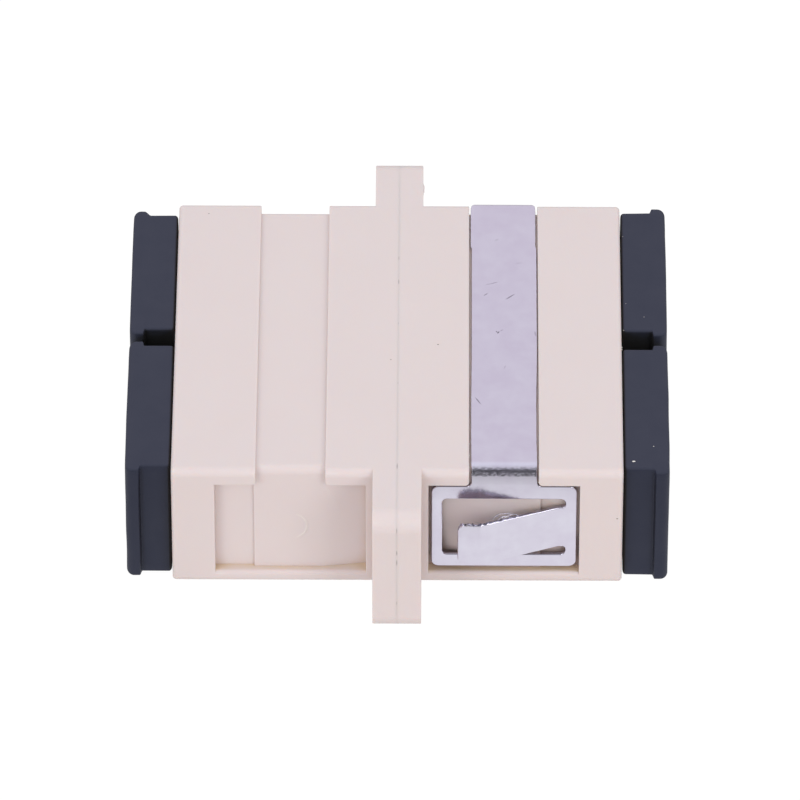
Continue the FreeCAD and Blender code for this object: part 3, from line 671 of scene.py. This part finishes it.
def bent_sheet(loops, joined, path, axes, side, settings, ragged):
    """A bmesh of a sheet blank with rolled edges, bent along a path.

    loops are closed outlines of (across, along) points, the outside first. joined tells whether an
    outline point lies where another piece goes on. axes are the frame's directions of the path's
    plane and of across. side is 1 or -1: where the outer face lies, left or right of the heading.
    ragged gives how far the sheared edge wanders at an outline point, and over what length.
    """
    roll, thick = settings.edge_round, settings.thickness
    roll_steps, row_count, column_count, clear = 3, 60, 16, 0.12 * MM
    turns = [math.pi / 2 * k / roll_steps for k in range(roll_steps + 1)]
    # Rows of the rolled edge from the outer face to the inner: inset, depth and the parts of its normal
    profile = [(roll * (1 - math.sin(t)), roll * (1 - math.cos(t)), math.sin(t), math.cos(t))
               for t in turns]
    profile += [(roll * (1 - math.cos(t)), thick - roll * (1 - math.sin(t)), math.cos(t), -math.sin(t))
                for t in turns]
    e1, e2, e3 = axes
    form = bmesh.new()
    normals = []

    def bend(across, along, depth, out2d, lift):
        place, angle = path.at(min(max(along, 0.0), path.length))
        heading = Vector((math.cos(angle), math.sin(angle)))
        outward = Vector((-heading.y, heading.x)) * side
        point = place - outward * depth
        vert = form.verts.new(e1 * point.x + e2 * point.y + e3 * across)
        flat = heading * out2d.y + outward * lift
        normals.append(e1 * flat.x + e2 * flat.y + e3 * out2d.x)
        return vert

    def on_sheet(spot):
        return inside(spot, outline[0]) and not any(inside(spot, hole) for hole in outline[1:])

    rims, outline = [], []
    for loop in loops:
        count = len(loop)
        outs = []
        for i in range(count):
            tangent = (loop[(i + 1) % count] - loop[i - 1]).normalized()
            outs.append(Vector((tangent.y, -tangent.x)))
        rings, flat = [], []
        for inset, depth, across_share, lift in profile:
            ring = []
            for point, out in zip(loop, outs):
                reach, grain = ragged(point)
                wander = noise.noise(Vector((point.x, point.y, depth)) / grain) * reach
                pulled = 0.0 if joined(point) else inset - wander * min(1.0, across_share)
                spot = point - out * pulled
                ring.append(bend(spot.x, spot.y, depth, out * across_share, lift))
                if depth == 0:
                    flat.append(spot)
            rings.append(ring)
        rims.append(rings)
        outline.append(flat)
    points, edges = [], []
    for flat in outline:
        base = len(points)
        points += flat
        edges += [(base + i, base + (i + 1) % len(flat)) for i in range(len(flat))]
    border = len(points)
    left, right = min(p.x for p in outline[0]), max(p.x for p in outline[0])
    low, high = min(p.y for p in outline[0]), max(p.y for p in outline[0])
    rows = path.rows() + [low + (high - low) * k / row_count for k in range(1, row_count)]
    columns = [left + (right - left) * k / column_count for k in range(1, column_count)]
    for along in sorted(rows):
        for across in columns:
            spot = Vector((across, along))
            gap = min((spot - p).length for p in points[:border])
            if gap > clear and on_sheet(spot):
                points.append(spot)
    scaled = [p / MM for p in points]
    spots, _, triangles, origins, _, _ = geometry.delaunay_2d_cdt(scaled, edges, [], 0, 1e-5)
    top, bottom = [], []
    ring_top = [v for rings in rims for v in rings[0]]
    ring_bottom = [v for rings in rims for v in rings[-1]]
    none = Vector((0, 0))
    for spot, origin in zip(spots, origins):
        known = [k for k in origin if k < border]
        if known:
            top.append(ring_top[known[0]])
            bottom.append(ring_bottom[known[0]])
        else:
            top.append(bend(spot.x * MM, spot.y * MM, 0.0, none, 1.0))
            bottom.append(bend(spot.x * MM, spot.y * MM, thick, none, -1.0))
    for a, b, c in triangles:
        middle = (spots[a] + spots[b] + spots[c]) / 3 * MM
        if on_sheet(middle):
            form.faces.new((top[a], top[b], top[c]))
            form.faces.new((bottom[c], bottom[b], bottom[a]))
    for rings in rims:
        for upper, lower in zip(rings, rings[1:]):
            for i in range(len(upper)):
                j = (i + 1) % len(upper)
                form.faces.new((upper[j], upper[i], lower[i], lower[j]))
    for face in form.faces:
        face.smooth = True
    bmesh.ops.recalc_face_normals(form, faces=form.faces)
    return form, [n.normalized() for n in normals]


class ADAPTER_OT_housing(bpy.types.Operator):
    """Finish the two moulded housing halves"""
    bl_idname = "adapter.housing"
    bl_label = "Housing"

    def execute(self, context):
        settings = context.scene.adapter_housing
        plastic = beige_moulded_plastic(settings)
        for end_name, _ in ENDS:
            rounded_copy(f"housing_half_{end_name}", settings.edge_round, plastic,
                         self.close_seam, self.ease_sills)
        # Painted highlight: the lip of each ejector pin's mark is drawn a little lighter than the housing,
        # for the light on its edge
        lit_lip = matt("lit_lip_pbt_beige", "#E6DBD9")
        for side_name, side in SIDES:
            for end_name, end in ENDS:
                form = self.pin_mark(settings, side, end)
                add_piece(f"ejector_mark_{side_name}_{end_name}", form, lit_lip, "adapter")
        add_piece("gate_stub", self.gate(), matt("torn_pbt_beige", "#E6DADA"), "adapter")
        return {"FINISHED"}

    def close_seam(self, form):
        """Bring the chamfered lips at the seam out to the surface beside them."""
        on_seam, lip_low, lip_high = 1e-4 * MM, 0.03 * MM, 0.06 * MM
        for corner in [v for v in form.verts if abs(v.co.x) < on_seam]:
            beside = [e.other_vert(corner) for e in corner.link_edges]
            beside = [v for v in beside if lip_low < abs(v.co.x) < lip_high]
            if beside:
                nearest = min(beside, key=lambda v: (v.co - corner.co).length)
                corner.co.yz = nearest.co.yz

    def ease_sills(self, form):
        """Round the rim at the foot of each recess, which is softer than the other edges."""
        s = bpy.context.scene.adapter_housing
        near, upright = 0.01 * MM, 0.99

        def rims():
            return [e for e in form.edges if all(
                abs(v.co.z - s.sill) < near and abs(abs(v.co.y) - s.narrow_side) < near for v in e.verts)]

        form.normal_update()
        ends = [v.co.x for e in rims() for v in e.verts]
        # The walls are cut where the rim ends, so that the round stops there
        for end in (min(ends), max(ends)):
            walls = [f for f in form.faces if abs(f.normal.y) > upright
                     and abs(abs(f.calc_center_median().y) - s.narrow_side) < near]
            parts = dict.fromkeys(part for f in walls for part in (f, *f.edges, *f.verts))
            bmesh.ops.bisect_plane(form, geom=list(parts), dist=1e-3 * MM, plane_co=(end, 0, 0),
                                   plane_no=(1, 0, 0))
        bmesh.ops.bevel(form, geom=rims(), offset=s.sill_round, offset_type="OFFSET", segments=4,
                        profile=0.5, affect="EDGES", clamp_overlap=False)
        form.normal_update()

    def pin_mark(self, s, side, end):
        """The low lip that an ejector pin left on one side of where it pushed."""
        # Section of the lip: place out from the pin's edge in millimetres, and share of the full height
        lip = ((-0.1, -0.1), (-0.05, 0.1), (0.0, 1.0), (0.04, 0.9), (0.09, 0.3), (0.15, -0.1))
        sunk, sweep, steps = 0.05, math.radians(144), 48
        form = bmesh.new()
        rings = []
        for out, rise in lip:
            radius = s.pin_radius + out * MM
            ring = []
            for k in range(steps + 1):
                angle = sweep * (k / steps - 0.5)
                # The lip dies away towards its two ends
                height = s.pin_height * (rise * math.cos(math.pi * angle / sweep) - sunk)
                ring.append(form.verts.new((end * s.pin_place + radius * math.cos(angle),
                                            side * (s.recess_floor + height),
                                            s.pin_level + radius * math.sin(angle))))
            rings.append(ring)
        for a, b in zip(rings, rings[1:]):
            for k in range(steps):
                face = form.faces.new((a[k], a[k + 1], b[k + 1], b[k]))
                face.smooth = True
                face.normal_update()
                if face.normal.y * side < 0:
                    face.normal_flip()
        return form

    def gate(self):
        """The torn stub of the moulding's gate on the flange."""
        place, half_size = Vector((1.47, 14.45, 9.08)) * MM, Vector((0.11, 0.5, 0.18)) * MM
        torn, lumps = 0.5, 2.3
        form = bmesh.new()
        bmesh.ops.create_icosphere(form, subdivisions=4, radius=1.0)
        for corner in form.verts:
            rough = 1 + torn * noise.noise(corner.co * lumps)
            corner.co = place + corner.co * rough * half_size
        for face in form.faces:
            face.smooth = True
        return form


class ADAPTER_OT_inner_parts(bpy.types.Operator):
    """Finish the latch holders and alignment sleeves"""
    bl_idname = "adapter.inner_parts"
    bl_label = "Inner parts"

    def execute(self, context):
        settings = context.scene.adapter_inner
        natural, bronze = natural_plastic(settings), phosphor_bronze(settings)
        for side_name, _ in SIDES:
            rounded_copy(f"alignment_sleeve_{side_name}", settings.edge_round, bronze)
            for end_name, _ in ENDS:
                rounded_copy(f"latch_holder_{side_name}_{end_name}", settings.edge_round, natural)
        return {"FINISHED"}


def rounded_ring(x, middle, half_wide, half_tall, radius):
    """Corners of a rounded rectangle across the X axis, with its long sides divided."""
    corner_steps, side_parts = 4, 18
    points = []
    for turn, (wide, tall) in enumerate(((1, 1), (-1, 1), (-1, -1), (1, -1))):
        centre = Vector((wide * (half_wide - radius), tall * (half_tall - radius)))
        for k in range(corner_steps + 1):
            angle = math.pi / 2 * (turn + k / corner_steps)
            points.append(centre + radius * Vector((math.cos(angle), math.sin(angle))))
    ring = []
    for i, (a, b) in enumerate(zip(points, points[1:] + points[:1])):
        parts = side_parts if i % (corner_steps + 1) == corner_steps else 1
        ring += [a.lerp(b, k / parts) for k in range(parts)]
    return [Vector((x, middle.y + p.x, middle.z + p.y)) for p in ring]


def lofted(rings):
    """A bmesh through rings of as many corners each, closed by flat ends."""
    form = bmesh.new()
    made = [[form.verts.new(p) for p in ring] for ring in rings]
    for a, b in zip(made, made[1:]):
        for i in range(len(a)):
            j = (i + 1) % len(a)
            form.faces.new((a[i], a[j], b[j], b[i]))
    form.faces.new(made[0])
    form.faces.new(made[-1])
    bmesh.ops.recalc_face_normals(form, faces=form.faces)
    for face in form.faces:
        face.smooth = True
    return form


class ADAPTER_OT_dust_caps(bpy.types.Operator):
    """Shape the four dust caps with their soft rims and hollow skirts"""
    bl_idname = "adapter.dust_caps"
    bl_label = "Dust caps"

    def execute(self, context):
        s = context.scene.adapter_cap
        plastic = black_moulded_plastic(s)
        # Without a seed, the waver would be another one in every run
        noise.seed_set(s.waver_seed)
        for side_name, side in SIDES:
            for end_name, end in ENDS:
                node = f"dust_cap_{side_name}_{end_name}"
                low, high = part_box(node)
                form = self.cap(s, low, high, side, end, [v * MM for v in CAP_SEATS[node]])
                piece = add_piece(node + "_finished", form, plastic, node)
                even = piece.modifiers.new("Even shading", "WEIGHTED_NORMAL")
                even.weight = 100
                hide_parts(node)
        return {"FINISHED"}

    def cap(self, s, low, high, side, end, seat):
        """Rings from the hollow's floor over the skirt and the head to the outer end."""
        wide_more, aside, slope = seat
        middle = (low + high) / 2
        outer = max(abs(low.x), abs(high.x))
        inner = min(abs(low.x), abs(high.x))
        tall = (high.z - low.z) / 2
        wide = s.half_width + wide_more
        step = outer - s.head
        hollow_wide, hollow_tall = s.skirt_wide - s.wall, s.skirt_tall - s.wall
        # Rings of the skirt: place along X, half width, half height, corner round
        skirt = [
            (outer - s.floor, hollow_wide, hollow_tall, 0.2 * MM),
            (inner + s.lead, hollow_wide, hollow_tall, 0.2 * MM),
            (inner, hollow_wide + s.lead, hollow_tall + s.lead, 0.3 * MM),
            (inner, s.skirt_wide - s.lead, s.skirt_tall - s.lead, 0.4 * MM),
            (inner + s.lead, s.skirt_wide, s.skirt_tall, 0.5 * MM),
            (step, s.skirt_wide, s.skirt_tall, 0.5 * MM),
        ]
        # Rings of the head: place along X, half width outside and beside the other cap, half height
        head = []
        inner_steps, rim_steps, end_steps = 4, 14, 8
        for k in range(inner_steps + 1):
            angle = math.pi / 2 * k / inner_steps
            inward = s.inner_round * (1 - math.sin(angle))
            x = step + s.inner_round * (1 - math.cos(angle))
            head.append((x, wide - inward, wide - inward, tall - inward))
        rim_start, rim_run = outer - 1.1 * MM, 0.5 * MM
        for k in range(rim_steps + 1):
            x = rim_start + rim_run * k / rim_steps
            along = x - outer + s.rim
            out, gap = (self.swell(along, length) * s.overhang for length in (slope, s.gap_slope))
            head.append((x, wide + out, wide + gap, tall))
        for k in range(end_steps + 1):
            angle = math.pi / 2 * k / end_steps
            inward = s.end_round * (1 - math.cos(angle))
            full = wide + s.overhang - inward
            head.append((outer - s.end_round * (1 - math.sin(angle)), full, full, tall - inward / 2))
        # The first ring lies flat on the housing, and the others wander
        seated = 0.01 * MM
        rings = [rounded_ring(x * end, middle, w, t, r) for x, w, t, r in skirt]
        middle = middle + Vector((0, aside, 0))
        for x, out, gap, t in head:
            centre = middle + Vector((0, side * (out - gap) / 2, 0))
            ring = rounded_ring(x * end, centre, (out + gap) / 2, t, s.edge_round)
            if x > step + seated:
                ring = [self.wavered(p, s, middle, end, (x - step) / (outer - step)) for p in ring]
            rings.append(ring)
        return lofted(rings)

    def swell(self, along, length):
        """Share of the rim's overhang at a place along its sloping step."""
        share = min(1.0, max(0.0, along / length + 0.5))
        return share * share * (3 - 2 * share)

    def wavered(self, point, s, middle, end, share):
        """The point moved as a soft, thin moulding wanders."""
        run, bow, bow_reach = 2.2 * MM, 0.025 * MM, 6 * MM
        drift = noise.noise_vector(point / run) * s.waver
        bowed = -bow * ((point.y - middle.y) / bow_reach) ** 2
        return point + Vector((end * share * bowed + drift.x * share, drift.y, drift.z))


def steel(context):
    """The clip's steel, made once."""
    return bpy.data.materials.get("rolled_stainless_steel") or stainless_sheet(context.scene.adapter_clip)


def shade(piece, normals):
    """Shade a sheet by the normals worked out while it was bent."""
    piece.data.normals_split_custom_set_from_vertices(normals)


def strap_edge(y, edge):
    """Near or far edge of the strap at a place along its run."""
    for (y0, *edges0), (y1, *edges1) in zip(STRAP, STRAP[1:]):
        if y <= y1 * MM:
            share = max(0.0, (y / MM - y0) / (y1 - y0))
            return (edges0[edge] + (edges1[edge] - edges0[edge]) * share) * MM
    return STRAP[-1][1 + edge] * MM


class ADAPTER_OT_clip(bpy.types.Operator):
    """Stamp and bend the panel clip's strap and plates"""
    bl_idname = "adapter.clip"
    bl_label = "Panel clip"

    def execute(self, context):
        s = context.scene.adapter_clip
        low, high = CLIP_LOW, CLIP_HIGH
        tight, ease = math.radians(-80), math.radians(-10)
        depth = s.front_bend * math.sin(-tight) + s.front_ease * (1 - math.sin(-tight))
        drop = s.front_bend * (1 - math.cos(tight)) + s.front_ease * math.cos(tight)
        path = BentPath((low.y, low.z), math.pi / 2, [
            straight(high.z - drop - low.z), arc(s.front_ease, ease), arc(s.front_bend, tight),
            straight(high.y - low.y - depth - s.back_bend), arc(s.back_bend, -math.pi / 2),
            straight(high.z - s.back_bend - low.z)])
        neck = s.plate_top - low.z
        end = path.length
        top_start = path.parts[3][0]
        on_top = [top_start + y * MM - (low.y + depth) for y, *_ in STRAP[1:-1]
                  if y * MM < high.y - s.back_bend]
        rows = sorted(path.rows() + on_top)
        rows = [r for r in rows if neck + 2 * s.neck < r < end - neck - 2 * s.neck]
        closest = 0.02 * MM
        rows = [r for r, before in zip(rows, [0.0] + rows) if r - before > closest]
        sides = [[(strap_edge(path.at(r)[0].x, edge), r, 0) for r in rows] for edge in (0, 1)]
        front_near, front_far = (strap_edge(low.y, edge) for edge in (0, 1))
        back_near, back_far = (strap_edge(high.y, edge) for edge in (0, 1))
        left, right = low.x, high.x
        outside = [
            (left, 0, s.plate_corner), (right, 0, s.plate_corner), (right, neck, s.plate_corner),
            (front_far, neck, s.neck), *sides[1], (back_far, end - neck, s.neck),
            (right, end - neck, s.plate_corner), (right, end, s.plate_corner), (left, end, s.plate_corner),
            (left, end - neck, s.plate_corner), (back_near, end - neck, s.neck), *sides[0][::-1],
            (front_near, neck, s.neck), (left, neck, s.plate_corner),
        ]
        window_start, window_end = left + s.rail, right - s.rail
        bottom, top = s.lower_rail, neck - s.upper_rail
        # The slots end nearly round, and their inner corners stay clear of the root
        slot_round = s.slot * 0.49
        root_round = min(slot_round, window_end - s.root - 0.005 * MM)
        window = [
            (window_start, bottom, s.window_corner), (window_start, top, s.window_corner),
            (window_end, top, slot_round), (window_end, top - s.slot, root_round),
            (s.root, top - s.slot, 0), (s.root, bottom + s.slot, 0),
            (window_end, bottom + s.slot, root_round), (window_end, bottom, slot_round),
        ]
        step, near = 0.2 * MM, 1e-4 * MM
        front = divided(rounded_outline(window), step)
        back = [Vector((p.x, end - p.y)) for p in reversed(front)]
        loops = [divided(rounded_outline(outside), step), front, back]
        axes = (Vector((0, 1, 0)), Vector((0, 0, 1)), Vector((1, 0, 0)))

        def at_root(point):
            between = bottom + s.slot - near <= min(point.y, end - point.y) <= top - s.slot + near
            return abs(point.x - s.root) < near and between

        form, normals = bent_sheet(loops, at_root, path, axes, 1, s, lambda p: (s.ragged, s.ragged_run))
        piece = add_piece("panel_clip_sheet", form, steel(context), "adapter")
        shade(piece, normals)
        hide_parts("panel_clip")
        return {"FINISHED"}


class ADAPTER_OT_tongues(bpy.types.Operator):
    """Stamp and bend the clip's two spring tongues"""
    bl_idname = "adapter.tongues"
    bl_label = "Clip tongues"

    def execute(self, context):
        s = context.scene.adapter_clip
        for side_name, side in SIDES:
            node = f"clip_tongue_{side_name}"
            low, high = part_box(node)
            face = CLIP_LOW.y if side < 0 else CLIP_HIGH.y
            rise = s.rise_angle * -side
            toe = s.toe_angle * side
            root_arc, toe_arc = arc(s.root_bend, rise), arc(s.toe_bend, toe)
            lean, left = s.rise_angle, s.rise_angle - s.toe_angle
            bends = s.root_bend * math.sin(lean) + s.toe_bend * (math.sin(lean) - math.sin(left))
            run = (s.root - low.x - bends - s.toe_length * math.cos(left)) / math.cos(lean)
            path = BentPath((s.root, face), math.pi,
                            [root_arc, straight(run), toe_arc, straight(s.toe_length)])
            end = path.length
            rows = path.rows()[1:]
            outline = [
                (high.z, 0, 0), *[(high.z, r, 0) for r in rows], (high.z, end, s.tongue_corner),
                (low.z, end, s.tongue_corner), *[(low.z, r, 0) for r in rows[::-1]], (low.z, 0, 0),
            ]
            step, near = 0.07 * MM, 1e-4 * MM
            loop = divided(rounded_outline(outline), step)
            axes = (Vector((1, 0, 0)), Vector((0, 1, 0)), Vector((0, 0, 1)))
            burr_lead, fray_length = 0.8 * MM, 2.2 * MM
            burr_start = end - s.toe_length - burr_lead
            fray_start = burr_start - fray_length
            upper_edge = high.z - 0.1 * MM

            def torn_edge(point):
                if point.x < upper_edge or point.y < fray_start:
                    return s.ragged, s.ragged_run
                return (s.burr if point.y > burr_start else s.fray), s.torn_run

            form, normals = bent_sheet([loop], lambda p: p.y < near, path, axes, -side, s, torn_edge)
            piece = add_piece(node + "_sheet", form, steel(context), None)
            shade(piece, normals)
            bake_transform(piece)
            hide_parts(node)
        for number, bow in enumerate(CURLS):
            add_piece(f"toe_curl_{number}", self.curl(s, bow), steel(context), "clip_tongue_front")
        return {"FINISHED"}

    def curl(self, s, bow):
        """A curl of torn metal on the front tongue's upper edge, as a thin bent wire."""
        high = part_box("clip_tongue_front")[1].z
        sides, outward, upward = 6, 0.56, 0.5
        # In millimetres, as the table of curls is
        root_lead, behind_face = 0.15, 0.12
        wire, uneven, lumps = 0.03, 0.014, 7
        turns = [math.tau * k / sides for k in range(sides)]
        rings = []
        for x, rise in bow:
            lean = (s.root / MM - x - root_lead) * math.tan(s.rise_angle)
            out = behind_face - lean + rise * outward
            middle = Vector((x * MM, CLIP_LOW.y + out * MM, high + rise * upward * MM))
            thick = (wire + uneven * noise.noise(Vector((x * lumps, 0.3, 0)))) * MM
            rings.append([middle + thick * Vector((0, math.cos(t), math.sin(t))) for t in turns])
        return lofted(rings)


class ADAPTER_OT_dust(bpy.types.Operator):
    """Scatter the few specks of dust that lie on the surfaces, and the pale specks that stand for glints"""
    bl_idname = "adapter.dust"
    bl_label = "Dust specks"

    def execute(self, context):
        # The pale finish serves both the pale dust and the painted glints
        dark, pale = matt("dark_dust", "#8B7F7B"), matt("pale_dust_and_glints", "#E8E4E0")
        specks = [(body, light, *speck) for body, light, group in SPECKS for speck in group]
        for number, (body, light, x, y, z, size) in enumerate(specks):
            form = self.speck(size * MM, number)
            bmesh.ops.translate(form, verts=form.verts, vec=Vector((x, y, z)) * MM)
            add_piece(f"speck_{number}", form, pale if light else dark, body)
        return {"FINISHED"}

    def speck(self, radius, number):
        """A flat, uneven crumb, each one different."""
        uneven, lumps, squash = 0.4, 0.05 * MM, Vector((1.0, 0.5, 0.35))
        form = bmesh.new()
        bmesh.ops.create_icosphere(form, subdivisions=2, radius=radius)
        for corner in form.verts:
            swell = 1 + uneven * noise.noise(corner.co / lumps + Vector((number, 0, 0)))
            corner.co = corner.co * swell * squash
        return form


class ADAPTER_OT_stage(bpy.types.Operator):
    """Set the floor, the lights and the camera"""
    bl_idname = "adapter.stage"
    bl_label = "Stage"

    def execute(self, context):
        s = context.scene.adapter_stage
        context.scene.view_settings.view_transform = "Standard"
        self.add_floor()
        self.add_world(s)
        self.add_lamps(s)
        self.add_camera(s)
        return {"FINISHED"}

    def add_sheet(self, name, corners, material):
        """A flat sheet that belongs to the stage."""
        mesh = bpy.data.meshes.new(name)
        mesh.from_pydata(corners, [], [list(range(len(corners)))])
        mesh.materials.append(material)
        sheet = bpy.data.objects.new(name, mesh)
        bpy.context.scene.collection.objects.link(sheet)
        return sheet

    def add_floor(self):
        """White paper: the camera sees it white, and mirrors see it fall off to the front and the back."""
        material = bpy.data.materials.new("white_sweep_paper")
        material.use_nodes = True
        tree = material.node_tree
        tree.nodes.clear()
        path = add_node(tree, "LightPath")
        place = add_node(tree, "SeparateXYZ", links={0: add_node(tree, "TexCoord").outputs["Object"]})
        away = add_node(tree, "Math", {"operation": "ABSOLUTE"}, {0: place.outputs["Y"]})
        away = add_node(tree, "MapRange", {"From Min": 20 * MM, "From Max": 100 * MM}, {0: away.outputs[0]})
        fall = [(0.0, 1.0), (0.03, 0.8), (0.12, 0.7), (0.26, 0.6), (1.0, 0.34)]
        mirrored = add_node(tree, "ValToRGB", {"stops": greys(fall)}, {0: away.outputs[0]})
        # A little over white, so that the object's shade on the paper is lost as in the photo
        tone = add_node(tree, "Mix", {"data_type": "RGBA", 7: (1.04, 1.04, 1.04, 1.0)},
                        {0: path.outputs["Is Camera Ray"], 6: mirrored.outputs[0]})
        glow = add_node(tree, "Emission", {"Strength": 1.06}, {"Color": tone.outputs[2]})
        paper = linear("#D3CDC7")
        plain = add_node(tree, "BsdfDiffuse", {"Color": paper})
        # Matt surfaces see the paper's light without most of the object's own shadow on it
        even = add_node(tree, "Emission", {"Color": paper, "Strength": 1.05})
        even_share = add_node(tree, "Math", {"operation": "MULTIPLY", 1: 0.65},
                              {0: path.outputs["Is Diffuse Ray"]})
        lit = add_node(tree, "MixShader",
                       links={0: even_share.outputs[0], 1: plain.outputs[0], 2: even.outputs[0]})
        seen = add_node(tree, "Math", {"operation": "ADD", "use_clamp": True},
                        {0: path.outputs["Is Camera Ray"], 1: path.outputs["Is Glossy Ray"]})
        share = add_node(tree, "Math", {"operation": "MULTIPLY", 1: 0.88}, {0: seen.outputs[0]})
        both = add_node(tree, "MixShader",
                        links={0: share.outputs[0], 1: lit.outputs[0], 2: glow.outputs[0]})
        # Seen from below, the paper is clear
        below = add_node(tree, "NewGeometry")
        clear = add_node(tree, "BsdfTransparent")
        under = add_node(tree, "MixShader",
                         links={0: below.outputs["Backfacing"], 1: both.outputs[0], 2: clear.outputs[0]})
        add_node(tree, "OutputMaterial", links={"Surface": under.outputs[0]})
        half, drop = 1.5, -0.01 * MM
        floor = self.add_sheet("floor", [(-half, -half, drop), (half, -half, drop), (half, half, drop),
                                         (-half, half, drop)], material)
        # The test for close corners follows shadow rays, and the floor is no corner of the object
        floor.visible_shadow = False

    def add_world(self, s):
        """A white tent, dark where it opens to the front: mirrors show it, matt faces get an even fill."""
        world = bpy.data.worlds.new("white_tent")
        bpy.context.scene.world = world
        world.use_nodes = True
        tree = world.node_tree
        tree.nodes.clear()
        path = add_node(tree, "LightPath")
        towards = add_node(tree, "SeparateXYZ", links={0: add_node(tree, "TexCoord").outputs["Generated"]})
        front = add_node(tree, "MapRange", {"From Min": 1.0, "From Max": -1.0}, {0: towards.outputs["Y"]})
        # Light of the tent from its back to its front: place, and linear red, green and blue
        stops = [(0.0, 0.85, 0.81, 0.86), (0.16, 0.87, 0.83, 0.885), (0.34, 0.97, 0.97, 1.02),
                 (0.5, 0.92, 0.93, 0.99), (0.63, 0.8, 0.8, 0.84), (0.695, 0.68, 0.68, 0.72),
                 (0.77, 0.56, 0.56, 0.59), (0.835, 0.38, 0.38, 0.4), (0.885, 0.22, 0.22, 0.235),
                 (0.945, 0.18, 0.18, 0.195), (1.0, 0.25, 0.25, 0.26)]
        tent = add_node(tree, "ValToRGB", {"stops": [(p, (*c, 1)) for p, *c in stops]},
                        {0: front.outputs[0]})
        tone = add_node(tree, "Mix", {"data_type": "RGBA", 7: WHITE},
                        {0: path.outputs["Is Camera Ray"], 6: tent.outputs[0]})
        seen = add_node(tree, "Math", {"operation": "ADD", "use_clamp": True},
                        {0: path.outputs["Is Camera Ray"], 1: path.outputs["Is Glossy Ray"]})
        above = add_node(tree, "Math", {"operation": "GREATER_THAN", 1: 0.0}, {0: towards.outputs["Z"]})
        level = add_node(tree, "Math", {"operation": "MULTIPLY", 1: s.fill}, {0: above.outputs[0]})
        lit = add_node(tree, "Background", {"Color": WHITE}, {"Strength": level.outputs[0]})
        white = add_node(tree, "Background", {"Strength": 1.0}, {"Color": tone.outputs[2]})
        both = add_node(tree, "MixShader",
                        links={0: seen.outputs[0], 1: lit.outputs[0], 2: white.outputs[0]})
        add_node(tree, "OutputWorld", links={"Surface": both.outputs[0]})

    def add_lamps(self, s):
        """A softbox on each side of the camera."""
        for name, side in ENDS:
            lamp = bpy.data.lights.new(f"softbox_{name}", "AREA")
            lamp.shape, lamp.size, lamp.energy = "SQUARE", s.key_size, s.key
            holder = bpy.data.objects.new(f"softbox_{name}", lamp)
            bpy.context.scene.collection.objects.link(holder)
            level = math.cos(s.key_height)
            away = Vector((side * math.sin(s.key_turn) * level, -math.cos(s.key_turn) * level,
                           math.sin(s.key_height)))
            holder.location = away * s.key_distance
            holder.rotation_euler = (-away).to_track_quat("-Z", "Y").to_euler()

    def add_camera(self, s):
        """A long lens that looks down on the object's middle."""
        camera = bpy.data.cameras.new("camera")
        holder = bpy.data.objects.new("camera", camera)
        bpy.context.scene.collection.objects.link(holder)
        level = math.cos(s.elevation)
        away = Vector((math.sin(s.turn) * level, -math.cos(s.turn) * level, math.sin(s.elevation)))
        holder.location = Vector((0, 0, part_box("housing_half_left")[1].z / 2)) + away * s.distance
        holder.rotation_euler = (-away).to_track_quat("-Z", "Y").to_euler()
        camera.lens = s.lens
        camera.shift_x, camera.shift_y = s.shift
        camera.clip_end = 10
        bpy.context.scene.camera = holder


class ADAPTER_PT_panel(bpy.types.Panel):
    """Lists the steps in the sidebar."""
    bl_label = "Fibre adapter"
    bl_idname = "ADAPTER_PT_panel"
    bl_space_type = "VIEW_3D"
    bl_region_type = "UI"
    bl_category = "Adapter"

    def draw(self, context):
        for operator in OPERATORS:
            self.layout.operator(operator.bl_idname)


OPERATORS = (ADAPTER_OT_housing, ADAPTER_OT_inner_parts, ADAPTER_OT_clip, ADAPTER_OT_tongues,
             ADAPTER_OT_dust_caps, ADAPTER_OT_dust, ADAPTER_OT_stage)
SETTINGS = {
    "adapter_housing": HousingSettings, "adapter_clip": ClipSettings, "adapter_cap": CapSettings,
    "adapter_inner": InnerSettings, "adapter_stage": StageSettings,
}


def register():
    """Register the settings, the operators and the panel."""
    for name, group in SETTINGS.items():
        bpy.utils.register_class(group)
        setattr(bpy.types.Scene, name, bpy.props.PointerProperty(type=group))
    for item in (*OPERATORS, ADAPTER_PT_panel):
        bpy.utils.register_class(item)


def unregister():
    """Take back what register did."""
    for item in (*OPERATORS, ADAPTER_PT_panel):
        bpy.utils.unregister_class(item)
    for name, group in SETTINGS.items():
        delattr(bpy.types.Scene, name)
        bpy.utils.unregister_class(group)


def main():
    """Build every piece and the stage."""
    register()
    for operator in OPERATORS:
        group, name = operator.bl_idname.split(".")
        getattr(getattr(bpy.ops, group), name)()


if __name__ == "__main__":
    main()
